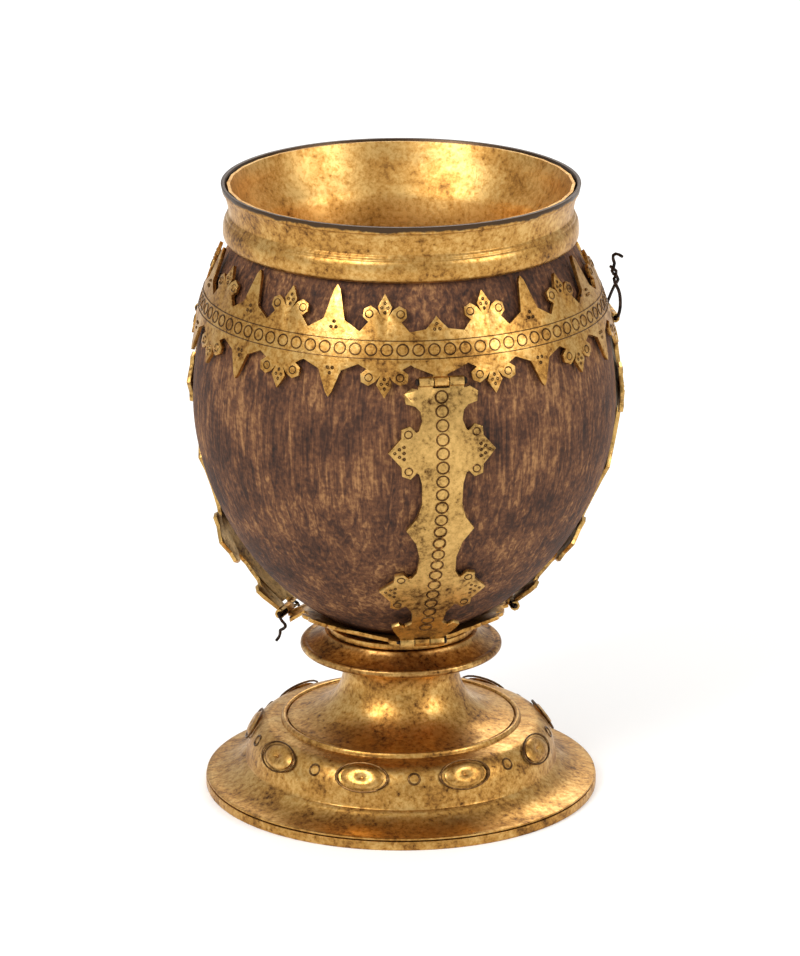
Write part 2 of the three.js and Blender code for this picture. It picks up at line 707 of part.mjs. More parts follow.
/** Standoff of a strap's inner face from the nut, at a place down the strap. */
function strapStandoff(strap, place) {
  const share = clamp(place / STRAP_LENGTH, 0, 1);
  return STRAP_STANDOFF + strap.lowerStandoff * smoothstep(share, strap.bowStart, 1.15) * 1.15;
}

/** One side of the outline round a pointed lobe: a scroll above it, its tip, a scroll below it. */
function lobeSide(place) {
  const r = STRAP_SCROLL_RADIUS;
  const x = STRAP_SCROLL_REACH;
  const above = place - STRAP_SCROLL_SPACING;
  const below = place + STRAP_SCROLL_SPACING;
  return [
    at(x - r - 0.6, above - 0.8),
    ...arc(x, above, r, 190, 390, 3),
    at(STRAP_LOBE_REACH - 1.8, place - 2.0),
    at(STRAP_LOBE_REACH, place),
    at(STRAP_LOBE_REACH - 1.8, place + 2.0),
    ...arc(x, below, r, -30, 170, 3),
    at(x - r - 0.6, below + 0.8),
  ];
}

/** One side of a strap's outline, from the upper hinge to the lower one. */
function strapSide() {
  const knuckleGap = KNUCKLE_HALF + KNUCKLE_GAP;
  const clear = KNUCKLE_RADIUS + KNUCKLE_GAP + 0.1;
  const [upperLobe, lowerLobe] = STRAP_LOBE_PLACES;
  const span = STRAP_SCROLL_SPACING;
  const waist = STRAP_WAIST;
  const neck = STRAP_SCROLL_REACH - STRAP_SCROLL_RADIUS - 0.6;
  const tail = STRAP_LENGTH - 7.0;
  return [
    at(0, clear),
    at(knuckleGap, clear),
    at(knuckleGap, SHEET_REACH),
    at(KNUCKLE_END, SHEET_REACH),
    at(KNUCKLE_END + 0.2, 1.9),
    ...arc(7.6, 3.9, 2.4, 270, 465, 3),
    ...bend([7.0, 6.2], [waist, 7.0], [waist, 10.0], 2),
    ...bend([waist, 10.0], [waist, upperLobe - span - 0.9], [neck, upperLobe - span - 0.9], 1),
    ...lobeSide(upperLobe),
    ...bend([neck, upperLobe + span + 0.8], [waist - 0.2, upperLobe + span + 2.4], [waist, STRAP_POINT_PLACE - 8], 2),
    ...bend([waist, STRAP_POINT_PLACE - 8], [waist + 0.5, STRAP_POINT_PLACE - 3.4], [STRAP_POINT_REACH, STRAP_POINT_PLACE], 2),
    ...bend([STRAP_POINT_REACH, STRAP_POINT_PLACE], [waist, STRAP_POINT_PLACE + 3.8], [waist - 0.4, STRAP_POINT_PLACE + 9], 2),
    ...bend([waist - 0.4, STRAP_POINT_PLACE + 9], [waist - 0.6, lowerLobe - span - 1.4], [neck, lowerLobe - span - 0.9], 2),
    ...lobeSide(lowerLobe),
    ...bend([neck, lowerLobe + span + 0.8], [waist - 1.4, lowerLobe + span + 2.4], [waist - 1.2, tail - 2.6], 2),
    at(5.6, tail - 1.2),
    ...arc(7.4, tail, 1.8, 190, 420, 3),
    at(KNUCKLE_END, STRAP_LENGTH - SHEET_REACH),
    at(knuckleGap, STRAP_LENGTH - SHEET_REACH),
    at(knuckleGap, STRAP_LENGTH - clear),
    at(0, STRAP_LENGTH - clear),
  ];
}

/** A pierced strap with closed knuckles above and open ones below, bent to the nut. */
function hingedStrap(strap) {
  const side = strapSide();
  const outline = [...side, ...side.slice(1, -1).reverse().map((p) => at(-p.x, p.y))];
  const a = radians(strap.azimuth);
  const along = new THREE.Vector3(Math.cos(a), Math.sin(a), 0);
  const sheet = bentSheet([outline], {
    cutY: between(0, STRAP_LENGTH, 14),
    cutX: [0],
    place: (x, y, face) => {
      const z = walkNut(strapTopZ, -y);
      const standoff = strapStandoff(strap, y) + (1 - face) * STRAP_THICKNESS;
      const turn = x / STRAP_CROSS_RADIUS;
      const lift = -STRAP_CROSS_RADIUS * (1 - Math.cos(turn));
      return nutPoint(strap.azimuth, z, standoff + lift).addScaledVector(along, STRAP_CROSS_RADIUS * Math.sin(turn));
    },
  });
  const upper = hingeFrame(strap, 0);
  const lower = hingeFrame(strap, STRAP_LENGTH);
  const swing = swingOf(upper, lower);
  const inner = KNUCKLE_HALF + KNUCKLE_GAP;
  const end = KNUCKLE_END;
  let made = solid(sheet);
  for (const [from, to] of [[-end, -inner], [inner, end]]) {
    made = made.add(hingeRod(upper, KNUCKLE_RADIUS, from, to));
    made = made.add(hingeRod(lower, KNUCKLE_RADIUS, from, to));
    made = made.subtract(hingeRod(upper, KNUCKLE_BORE, from - 0.1, to + 0.1));
    made = made.subtract(openBore(lower, swing, from - 0.1, to + 0.1));
  }
  return geometryOf(made);
}

/** The way a strap's lower end first moves when it swings out about its upper hinge. */
function swingOf(upper, lower) {
  const arm = lower.middle.clone().sub(upper.middle);
  return new THREE.Vector3().crossVectors(upper.along, arm).negate().normalize();
}

// Calyx plate

/** Angle between two azimuths, from -180 to 180 degrees. */
const turnTo = (from, to) => ((((to - from) % 360) + 540) % 360) - 180;

/** Height of the plate's upper face at a radius, between the arms. */
function calyxHeight(radius) {
  const free = NECK_RADIUS;
  const seat = nutZ + nutRise(Math.min(radius, free)) - NUT_GAP;
  const past = Math.max(0, radius - free);
  return seat + CALYX_RISE * past + 0.008 * past * past;
}

/** The part of the plate from one arm's axis to the next, as an outline in azimuth and radius. */
function calyxSector(fromArm, toArm) {
  const gap = toArm.azimuth - fromArm.azimuth;
  const middle = fromArm.azimuth + gap / 2;
  const edge = CALYX_EDGE_RADIUS;
  const scroll = CALYX_SCROLL_REACH;
  const armEnd = (arm) => arm.reach - SHEET_REACH - 0.1;
  const hug = (arm) => arm.reach - KNUCKLE_RADIUS - 2 * SEAT_GAP;
  const side = (arm, way) => {
    const wide = (half, radius) => at(arm.azimuth + way * THREE.MathUtils.radToDeg(half / radius), radius);
    return [
      at(arm.azimuth, armEnd(arm)),
      wide(KNUCKLE_HALF, armEnd(arm)),
      wide(KNUCKLE_HALF + 0.2, hug(arm)),
      wide(CALYX_ARM_HALF, hug(arm) - 1.4),
      wide(CALYX_ARM_HALF + 2.4, hug(arm) - 0.4),
      wide(CALYX_ARM_HALF + 4.6, hug(arm) - 1.0),
      wide(CALYX_ARM_HALF + 4.6, Math.min(hug(arm) - 2.4, edge)),
    ];
  };
  const lobe = (way) => [
    at(middle + way * 24, edge),
    at(middle + way * 17, edge + 0.6),
    at(middle + way * 15, scroll - 0.8),
    at(middle + way * 10, scroll),
    at(middle + way * 6, scroll - 1.6),
    at(middle + way * 4, CALYX_LOBE_REACH - 1.0),
  ];
  return [
    ...side(fromArm, 1),
    ...lobe(-1),
    at(middle, CALYX_LOBE_REACH),
    ...lobe(1).reverse(),
    ...side(toArm, -1).reverse(),
    at(toArm.azimuth, boltHole),
    ...between(0, gap, 20).map((turn) => at(toArm.azimuth - turn, boltHole)),
    at(fromArm.azimuth, boltHole),
  ];
}

/** The scrolled plate that cups the nut, its three arms rolled into the lower hinges' knuckles. */
function calyx() {
  const arms = STRAPS.map((strap) => {
    const hinge = hingeFrame(strap, STRAP_LENGTH);
    return { azimuth: strap.azimuth, hinge, reach: Math.hypot(hinge.middle.x, hinge.middle.y) };
  }).sort((a, b) => a.azimuth - b.azimuth);
  const outlines = arms.map((arm, i) => {
    const next = arms[(i + 1) % arms.length];
    const wrapped = next.azimuth > arm.azimuth ? next : { ...next, azimuth: next.azimuth + 360 };
    return calyxSector(arm, wrapped);
  });
  const place = (azimuth, radius, face) => {
    let height = calyxHeight(radius);
    for (const arm of arms) {
      const off = Math.abs(turnTo(arm.azimuth, azimuth));
      const rise = arm.hinge.middle.z - KNUCKLE_RADIUS * 0.2 - calyxHeight(arm.reach);
      height += rise * smoothstep(radius, CALYX_EDGE_RADIUS - 4, arm.reach) * (1 - smoothstep(off, 14, 34));
    }
    const a = radians(azimuth);
    return new THREE.Vector3(radius * Math.sin(a), -radius * Math.cos(a), height - face * CALYX_THICKNESS);
  };
  const low = arms[0].azimuth;
  const sheet = bentSheet(outlines, {
    cutX: between(low, low + 360, 24),
    cutY: [12, NECK_RADIUS, 25],
    period: 360,
    place,
  });
  let made = solid(sheet);
  for (const { hinge } of arms) {
    made = made.add(hingeRod(hinge, KNUCKLE_RADIUS, -KNUCKLE_HALF, KNUCKLE_HALF));
    made = made.subtract(hingeRod(hinge, KNUCKLE_BORE, -KNUCKLE_END, KNUCKLE_END));
  }
  return geometryOf(made);
}

// Bolt, washers and nut

const innerFloorZ = nutZ + nutRise(WASHER_RADIUS + NUT_WALL) + NUT_WALL + SEAT_GAP;
const washerZ = innerFloorZ + SEAT_GAP;
const boltHeadZ = washerZ + WASHER_THICKNESS + SEAT_GAP;
const footPlateZ = footTopZ - FOOT_WALL - SEAT_GAP - FOOT_PLATE_THICKNESS;
const footNutZ = footPlateZ - SEAT_GAP - FOOT_NUT_HEIGHT;

function washer(radius, z, thickness, crown) {
  return revolve(
    pathOf([boltHole, z], [radius, z], [radius, z + thickness - crown], [radius * 0.7, z + thickness], [boltHole, z + thickness], [boltHole, z]),
    24,
  );
}

function stemBolt() {
  const head = BOLT_HEAD_RADIUS;
  const top = boltHeadZ + BOLT_HEAD_HEIGHT;
  return revolve(
    pathOf(
      [0, footNutZ - BOLT_TAIL],
      [BOLT_RADIUS - 0.5, footNutZ - BOLT_TAIL],
      [BOLT_RADIUS, footNutZ - BOLT_TAIL + 0.5],
      [BOLT_RADIUS, boltHeadZ],
      [head, boltHeadZ],
      [head, boltHeadZ + 0.8],
      [head * 0.9, top, 0, top],
    ),
    20,
  );
}

/** A square nut with its corners left sharp. */
function footNut() {
  const half = FOOT_NUT_SIDE / 2;
  const square = new THREE.Shape([at(-half, -half), at(half, -half), at(half, half), at(-half, half)]);
  square.holes.push(new THREE.Path(arc(0, 0, BOLT_RADIUS + 0.15, 360, 30, 11)));
  return new THREE.ExtrudeGeometry(square, { depth: FOOT_NUT_HEIGHT, bevelEnabled: false }).translate(0, 0, footNutZ);
}

// Wires that stand in for lost hinge pins

/** A wire through the upper right hinge, its two ends brought up and twisted into a hooked tail. */
function twistedWire(hinge) {
  const side = KNUCKLE_END + 0.9;
  const turns = 2;
  const twist = (phase, rise) => [0, 1, 2, 3, 4, 5, 6, 7].map((i) => {
    const a = phase + (i / 7) * turns * Math.PI;
    const level = -9.0 - (rise * i) / 7;
    return [3.4 + 0.62 * Math.cos(a), level, -1.0 + 0.62 * Math.sin(a)];
  });
  const points = [
    [6.0, -15.6, -4.4],
    [4.9, -16.3, -2.6],
    [3.9, -15.4, -1.2],
    ...twist(0, 4.6).reverse(),
    [3.0, -6.0, 2.6],
    [1.9, -2.6, side - 0.4],
    [0.6, -0.4, side],
    [0, 0, KNUCKLE_END - 1.0],
    [0, 0, 0],
    [0, 0, 1.0 - KNUCKLE_END],
    [0.6, -0.4, -side],
    [1.9, -2.6, 0.4 - side],
    [3.0, -6.0, -4.0],
    ...twist(Math.PI, 3.8),
  ];
  return hingeWire(hinge, points, 44);
}

/** A wire through the lower left hinge, one end bent over and the other left as a kinked tail. */
function kinkedWire(hinge) {
  const side = KNUCKLE_END + 0.9;
  return hingeWire(
    hinge,
    [
      [0.7, 3.2, 1.4 - side],
      [0.3, 1.2, -side],
      [0, 0, -KNUCKLE_END - 0.1],
      [0, 0, 0],
      [0, 0, KNUCKLE_END + 0.1],
      [0.3, 0.9, side],
      [0.9, 3.0, side - 0.8],
      [2.4, 3.6, side - 2.2],
      [4.2, 3.1, side - 2.6],
      [6.0, 4.0, side - 3.6],
      [8.0, 4.2, side - 3.8],
    ],
    20,
  );
}

// Assembly

const gilt = new THREE.MeshStandardMaterial({ name: "gilt_copper", color: 0xb07a2c, metalness: 1, roughness: 0.35 });
const strapGilt = new THREE.MeshStandardMaterial({ name: "gilt_sheet", color: 0xc2913a, metalness: 1, roughness: 0.32 });
const shellBrown = new THREE.MeshStandardMaterial({ name: "coconut", color: 0x4a2c1d, metalness: 0, roughness: 0.55 });
const darkIron = new THREE.MeshStandardMaterial({ name: "dark_iron", color: 0x2c2621, metalness: 0.8, roughness: 0.6 });

const cup = new THREE.Group();

function addPiece(name, geometry, material) {
  const mesh = new THREE.Mesh(geometry, material);
  mesh.name = name;
  cup.add(mesh);
}

addPiece("foot_base_ring", baseRing(), gilt);
addPiece("foot", foot(), gilt);
addPiece("stem_spool", spool(), gilt);
addPiece("stem_disc", disc(), gilt);
addPiece("neck_ring", neckRing(), gilt);
addPiece("calyx_plate", calyx(), strapGilt);
addPiece("coconut_shell", coconutShell(), shellBrown);
addPiece("strapwork_band", strapworkBand(), strapGilt);
addPiece("lip_collar", lipCollar(), gilt);
addPiece("mouth_sleeve", mouthSleeve(), gilt);
addPiece("stem_bolt", stemBolt(), darkIron);
addPiece("bowl_washer", washer(WASHER_RADIUS, washerZ, WASHER_THICKNESS, 0.5), darkIron);
addPiece("foot_plate", washer(SPOOL_RIM_RADIUS, footPlateZ, FOOT_PLATE_THICKNESS, 0), darkIron);
addPiece("foot_nut", footNut(), darkIron);

for (const strap of STRAPS) {
  const upper = hingeFrame(strap, 0);
  const lower = hingeFrame(strap, STRAP_LENGTH);
  addPiece(`${strap.name}_strap`, hingedStrap(strap), strapGilt);
  const upperPin = strap.name === "right" ? twistedWire(upper) : hingePin(upper);
  const lowerPin = strap.name === "left" ? kinkedWire(lower) : hingePin(lower, 1);
  addPiece(`${strap.name}_upper_pin`, upperPin, darkIron);
  addPiece(`${strap.name}_lower_pin`, lowerPin, darkIron);
}

export default cup;
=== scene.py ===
"""Mounted coconut cup: gilt-copper mount, coconut shell, pierced band and hinged straps."""
import logging
import math
from dataclasses import dataclass, field
from enum import Enum

import bpy
from mathutils import Matrix, Vector


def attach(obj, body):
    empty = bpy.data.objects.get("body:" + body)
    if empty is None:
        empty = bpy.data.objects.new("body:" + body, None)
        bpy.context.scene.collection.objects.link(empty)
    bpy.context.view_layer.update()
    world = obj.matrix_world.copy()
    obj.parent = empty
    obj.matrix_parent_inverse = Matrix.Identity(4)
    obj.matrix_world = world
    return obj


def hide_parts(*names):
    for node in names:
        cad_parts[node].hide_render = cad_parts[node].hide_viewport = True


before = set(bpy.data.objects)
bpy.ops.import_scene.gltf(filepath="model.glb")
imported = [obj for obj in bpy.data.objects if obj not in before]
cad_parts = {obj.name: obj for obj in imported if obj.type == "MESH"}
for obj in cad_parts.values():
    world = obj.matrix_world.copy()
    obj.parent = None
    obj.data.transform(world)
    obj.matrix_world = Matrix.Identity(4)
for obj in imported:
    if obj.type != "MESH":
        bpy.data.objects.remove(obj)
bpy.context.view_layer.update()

MM = 0.001
log = logging.getLogger("cup")

Socket = bpy.types.NodeSocket
Outline = list[tuple[float, float]]
Place = tuple[Vector, Vector]


class Round(Enum):
    """Steps of a turned piece about its axis."""

    LARGE = 192
    SMALL = 96


def linear(code: str) -> tuple[float, float, float, float]:
    """Turn an sRGB hex colour into linear RGBA.

    Args:
        code: Six hex digits.

    Returns:
        Linear red, green, blue and an alpha of 1.
    """
    parts = [int(code[i : i + 2], 16) / 255 for i in (0, 2, 4)]
    red, green, blue = (p / 12.92 if p <= 0.04045 else ((p + 0.055) / 1.055) ** 2.4 for p in parts)
    return (red, green, blue, 1.0)


def add_node(
    tree: bpy.types.NodeTree, kind: str, links: dict | None = None, **settings: object
) -> bpy.types.Node:
    """Add a node with its settings and links.

    Args:
        tree: The node tree.
        kind: Blender's name for the node type.
        links: Socket name or number to an output socket, or to a plain value.
        settings: Attributes of the node.

    Returns:
        The new node.
    """
    node = tree.nodes.new(kind)
    for name, value in settings.items():
        setattr(node, name, value)
    for socket, value in (links or {}).items():
        if isinstance(value, bpy.types.NodeSocket):
            tree.links.new(value, node.inputs[socket])
        else:
            node.inputs[socket].default_value = value
    return node


def noise(
    tree: bpy.types.NodeTree,
    place: Socket,
    scale: float,
    detail: float,
    roughness: float = 0.5,
    distortion: float = 0.0,
) -> Socket:
    """Add a cloudy pattern.

    Args:
        tree: The node tree.
        place: The coordinates that it reads.
        scale: Patches per metre.
        detail: Layers of finer patches.
        roughness: Strength of the finer layers.
        distortion: How far the patches are pulled about.

    Returns:
        The pattern's value.
    """
    links = {"Vector": place, "Scale": scale, "Detail": detail, "Roughness": roughness}
    node = add_node(tree, "ShaderNodeTexNoise", links | {"Distortion": distortion})
    return node.outputs["Fac"]


def combine(
    tree: bpy.types.NodeTree, operation: str, first: Socket, second: Socket | float
) -> Socket:
    """Combine two values by one operation of arithmetic.

    Args:
        tree: The node tree.
        operation: Blender's name for the operation.
        first: The first value.
        second: The second value.

    Returns:
        The result.
    """
    return add_node(tree, "ShaderNodeMath", {0: first, 1: second}, operation=operation).outputs[0]


def blend(tree: bpy.types.NodeTree, share: float, first: Socket, second: Socket) -> Socket:
    """Blend two values.

    Args:
        tree: The node tree.
        share: Share of the second value.
        first: The first value.
        second: The second value.

    Returns:
        The blended value.
    """
    return add_node(tree, "ShaderNodeMix", {0: share, 2: first, 3: second}).outputs[0]


def remap(
    tree: bpy.types.NodeTree,
    value: Socket,
    low: float,
    high: float,
    from_low: float = 0.0,
    from_high: float = 1.0,
) -> Socket:
    """Map a value from one range to another and clamp it.

    Args:
        tree: The node tree.
        value: The value.
        low: The result at the range's start.
        high: The result at the range's end.
        from_low: The value at the range's start.
        from_high: The value at the range's end.

    Returns:
        The mapped value.
    """
    start = {"Value": value, "From Min": from_low, "From Max": from_high}
    links = start | {"To Min": low, "To Max": high}
    return add_node(tree, "ShaderNodeMapRange", links).outputs["Result"]


def add_bump(
    tree: bpy.types.NodeTree, shader: bpy.types.Node, height: Socket, strength: float, depth: float
) -> None:
    """Give a shader fine relief.

    Args:
        tree: The node tree.
        shader: The shader.
        height: The relief's height.
        strength: Strength of the relief.
        depth: Depth of the relief in metres.
    """
    links = {"Height": height, "Strength": strength, "Distance": depth}
    bump = add_node(tree, "ShaderNodeBump", links)
    tree.links.new(bump.outputs["Normal"], shader.inputs["Normal"])


def colour_ramp(tree: bpy.types.NodeTree, value: Socket, stops: list[tuple[float, str]]) -> Socket:
    """Add a colour ramp.

    Args:
        tree: The node tree.
        value: The value that picks the colour.
        stops: Position and hex colour of each stop.

    Returns:
        The ramp's colour output.
    """
    ramp = add_node(tree, "ShaderNodeValToRGB", {"Fac": value})
    elements = ramp.color_ramp.elements
    while len(elements) < len(stops):
        elements.new(0.5)
    for element, (place, code) in zip(elements, stops):
        element.position = place
        element.color = linear(code)
    return ramp.outputs["Color"]


def start_material(
    name: str,
) -> tuple[bpy.types.Material, bpy.types.NodeTree, bpy.types.Node, Socket]:
    """Make a material with a plain shader and its output.

    Args:
        name: The material's name.

    Returns:
        The material, its tree, its shader and the object coordinates.
    """
    material = bpy.data.materials.new(name)
    material.use_nodes = True
    tree = material.node_tree
    tree.nodes.clear()
    shader = add_node(tree, "ShaderNodeBsdfPrincipled")
    add_node(tree, "ShaderNodeOutputMaterial", {"Surface": shader.outputs["BSDF"]})
    place = add_node(tree, "ShaderNodeTexCoord").outputs["Object"]
    return material, tree, shader, place


@dataclass(frozen=True)
class GiltFinish:
    """Mercury gilding on copper: warm gold with brown tarnish in clouds and spots."""

    name: str
    bright: str = "DAB06A"
    gold: str = "BB8A45"
    shade: str = "8C6231"
    tarnish: str = "4F341C"
    worn: str = "4A3A2C"
    tarnish_share: float = 0.30
    cloud_mm: float = 9.0
    spot_mm: float = 1.3
    roughness: tuple[float, float] = (0.26, 0.48)
    worn_above_mm: float = 0.0
    worn_blend_mm: float = 0.5
    ragged_mm: float = 3.4

    def make(self) -> bpy.types.Material:
        """Build the material.

        Returns:
            The finished material.
        """
        material, tree, shader, place = start_material(self.name)
        shader.inputs["Metallic"].default_value = 1.0
        cloud = noise(tree, place, 1 / (self.cloud_mm * MM), 6.0, 0.62)
        spot = noise(tree, place, 1 / (self.spot_mm * MM), 3.0, 0.7)
        mixed = combine(tree, "MULTIPLY", cloud, spot)
        edge = self.tarnish_share * 0.4
        stops = [(edge, self.tarnish), (edge + 0.04, self.shade),
                 (edge + 0.11, self.gold), (edge + 0.24, self.bright)]
        base = colour_ramp(tree, mixed, stops)
        if self.worn_above_mm:
            base = self.wear_off(tree, place, cloud, base)
        smooth, dull = self.roughness
        tree.links.new(base, shader.inputs["Base Color"])
        tree.links.new(remap(tree, cloud, dull, smooth, 0.3, 0.7), shader.inputs["Roughness"])
        add_bump(tree, shader, mixed, 0.25, 0.0004)
        return material

    def wear_off(
        self, tree: bpy.types.NodeTree, place: Socket, cloud: Socket, base: Socket
    ) -> Socket:
        """Darken the gilding above a ragged height.

        Args:
            tree: The node tree.
            place: The object coordinates.
            cloud: The pattern that makes the height ragged.
            base: The gilding's colour.

        Returns:
            The colour with the worn edge.
        """
        height = add_node(tree, "ShaderNodeSeparateXYZ", {"Vector": place}).outputs["Z"]
        ragged = combine(tree, "MULTIPLY", cloud, self.ragged_mm * MM)
        level = combine(tree, "ADD", height, ragged)
        start, end = self.worn_above_mm * MM, (self.worn_above_mm + self.worn_blend_mm) * MM
        share = remap(tree, level, 0.0, 1.0, start, end)
        links = {0: share, 6: base, 7: linear(self.worn)}
        return add_node(tree, "ShaderNodeMix", links, data_type="RGBA").outputs[2]


@dataclass(frozen=True)
class CoconutFinish:
    """Scraped coconut shell: dark red-brown with vertical fibres, dull with a soft sheen."""

    name: str = "scraped_coconut_shell"
    fibre_mm: float = 1.7
    fibre_length: float = 11.0
    blotch_mm: float = 16.0
    flecks_per_metre: float = 900.0
    blotch_share: float = 0.45
    fleck_share: float = 0.2

    def make(self) -> bpy.types.Material:
        """Build the material.

        Returns:
            The finished material.
        """
        material, tree, shader, place = start_material(self.name)
        stretch = (1.0, 1.0, 1 / self.fibre_length)
        along = add_node(tree, "ShaderNodeMapping", {"Vector": place, "Scale": stretch})
        fibre = noise(tree, along.outputs["Vector"], 1 / (self.fibre_mm * MM), 5.0, 0.7, 0.9)
        blotch = noise(tree, place, 1 / (self.blotch_mm * MM), 7.0, 0.6)
        fleck = noise(tree, place, self.flecks_per_metre, 4.0)
        grain = blend(tree, self.blotch_share, fibre, blotch)
        value = blend(tree, self.fleck_share, grain, fleck)
        stops = [(0.37, "1D110A"), (0.46, "45291A"), (0.53, "69432A"), (0.63, "A87A4C")]
        tree.links.new(colour_ramp(tree, value, stops), shader.inputs["Base Color"])
        tree.links.new(remap(tree, fibre, 0.6, 0.9), shader.inputs["Roughness"])
        shader.inputs["Specular IOR Level"].default_value = 0.3
        add_bump(tree, shader, value, 0.7, 0.0008)
        return material


@dataclass(frozen=True)
class IronFinish:
    """Blackened iron wire: near black, with rust-brown where it was handled."""

    name: str = "blackened_iron"
    specks_per_metre: float = 700.0

    def make(self) -> bpy.types.Material:
        """Build the material.

        Returns:
            The finished material.
        """
        material, tree, shader, place = start_material(self.name)
        shader.inputs["Metallic"].default_value = 0.8
        shader.inputs["Roughness"].default_value = 0.5
        specks = noise(tree, place, self.specks_per_metre, 4.0)
        base = colour_ramp(tree, specks, [(0.4, "1B1613"), (0.6, "453329")])
        tree.links.new(base, shader.inputs["Base Color"])
        return material


@dataclass(frozen=True)
class Nut:
    """The coconut's form, in millimetres, as the CAD shell has it."""

    radius: float = 56.9
    lower: float = 65.5
    upper: float = 74.0
    lower_power: float = 1.815
    upper_power: float = 2.0
    height: float = 112.5
    wall: float = 3.4
    shift: float = 0.8
    ridge: float = 0.006
    ridge_azimuth: float = 70.0
    bottom: float = 43.8817
    bore: float = 3.0
    slope_step: float = 0.01
    walk_step: float = 0.5

    def radius_at(self, z: float) -> float:
        """Find the radius of the round form.

        Args:
            z: Height in millimetres.

        Returns:
            The radius in millimetres.
        """
        equator = self.bottom + self.lower
        above = z > equator
        power = self.upper_power if above else self.lower_power
        share = min(abs(z - equator) / (self.upper if above else self.lower), 1.0)
        return self.radius * (1 - share**power) ** (1 / power)

    def slope(self, z: float) -> float:
        """Find the change of the radius with height.

        Args:
            z: Height in millimetres.

        Returns:
            The slope.
        """
        step = self.slope_step
        return (self.radius_at(z + step) - self.radius_at(z - step)) / (2 * step)

    def grow(self, x: float, y: float, z: float) -> Vector:
        """Move a point of the round form to the natural one.

        Args:
            x: Place to the right, in millimetres.
            y: Place to the back, in millimetres.
            z: Height in millimetres.

        Returns:
            The moved point in millimetres.
        """
        share = min(max((z - self.bottom) / self.height, 0.0), 1.0)
        freedom = 4 * share * (1 - share)
        azimuth = math.atan2(x, -y)
        wave = math.cos(3 * (azimuth - math.radians(self.ridge_azimuth)))
        scale = 1 + self.ridge * freedom * wave
        return Vector((x * scale + self.shift * freedom, y * scale, z))

    def point(self, azimuth: float, z: float, off: float) -> Place:
        """Find a point off the outside and the way out of it.

        Args:
            azimuth: Degrees from the front towards the right.
            z: Height in millimetres.
            off: Distance along the normal in millimetres.

        Returns:
            The point in millimetres and the unit normal.
        """
        a = math.radians(azimuth)
        tilt = math.hypot(1.0, self.slope(z))
        radius = self.radius_at(z)
        out = Vector((math.sin(a), -math.cos(a), -self.slope(z))) / tilt
        return self.grow(radius * math.sin(a), -radius * math.cos(a), z) + out * off, out

    def walk(self, z: float, distance: float) -> float:
        """Walk the outside from a height.

        Args:
            z: Height at the start, in millimetres.
            distance: Way along the surface, in millimetres, upwards if positive.

        Returns:
            Height at the end, in millimetres.
        """
        steps = max(1, math.ceil(abs(distance) / self.walk_step))
        for _ in range(steps):
            z += distance / steps / math.hypot(1.0, self.slope(z))
        return z


def deselect() -> None:
    """Leave edit mode and deselect everything."""
    if bpy.context.object and bpy.context.object.mode != "OBJECT":
        bpy.ops.object.mode_set(mode="OBJECT")
    bpy.ops.object.select_all(action="DESELECT")


def activate(piece: bpy.types.Object) -> None:
    """Select one piece only and make it active.

    Args:
        piece: The piece.
    """
    deselect()
    piece.select_set(True)
    bpy.context.view_layer.objects.active = piece


def profile(start: tuple[float, float], *moves: tuple[float, ...], steps: int = 8) -> Outline:
    """List the points of a closed outline of radius and height.

    Args:
        start: The first point.
        moves: A point, or a control point and an end point of a quadratic curve.
        steps: Points along each curve.

    Returns:
        The outline's points, without a repeated end.
    """
    points = [start]
    for move in moves:
        x0, y0 = points[-1]
        if len(move) == 2:
            points.append((move[0], move[1]))
            continue
        cx, cy, x1, y1 = move
        for i in range(1, steps + 1):
            t = i / steps
            first, middle, last = (1 - t) ** 2, 2 * t * (1 - t), t * t
            points.append((first * x0 + middle * cx + last * x1,
                           first * y0 + middle * cy + last * y1))
    return points[:-1] if math.dist(points[0], points[-1]) < 1e-6 else points


def turn_piece(
    name: str, points: Outline, turns: Round, bevel_mm: float = 0.15
) -> bpy.types.Object:
    """Spin a closed outline about the Z axis and soften its edges.

    Args:
        name: The piece's name.
        points: Radius and height of the outline, in millimetres.
        turns: Steps about the axis.
        bevel_mm: Width of the softened edges.

    Returns:
        The finished piece.
    """
    deselect()
    bpy.ops.mesh.primitive_circle_add(vertices=len(points), radius=0.01)
    piece = bpy.context.object
    piece.name = name
    for vertex, (radius, height) in zip(piece.data.vertices, points):
        vertex.co = (radius * MM, 0.0, height * MM)
    bpy.ops.object.mode_set(mode="EDIT")
    bpy.ops.mesh.select_all(action="SELECT")
    bpy.ops.mesh.spin(steps=turns.value, angle=2 * math.pi, center=(0, 0, 0), axis=(0, 0, 1))
    bpy.ops.mesh.select_all(action="SELECT")
    bpy.ops.mesh.remove_doubles(threshold=1e-6)
    bpy.ops.mesh.normals_make_consistent(inside=False)
    bpy.ops.object.mode_set(mode="OBJECT")
    finish_piece(piece, bevel_mm)
    return piece


def finish_piece(piece: bpy.types.Object, bevel_mm: float) -> None:
    """Bevel the sharp edges of a piece and smooth its shading.

    Args:
        piece: The piece.
        bevel_mm: Width of the bevel, or 0 for none.
    """
    activate(piece)
    if bevel_mm:
        bevel = piece.modifiers.new("soft_edges", "BEVEL")
        bevel.width = bevel_mm * MM
        bevel.segments = 2
        bevel.limit_method = "ANGLE"
        bevel.angle_limit = math.radians(32)
        bpy.ops.object.modifier_apply(modifier=bevel.name)
    bpy.ops.object.shade_smooth_by_angle(angle=math.radians(35))


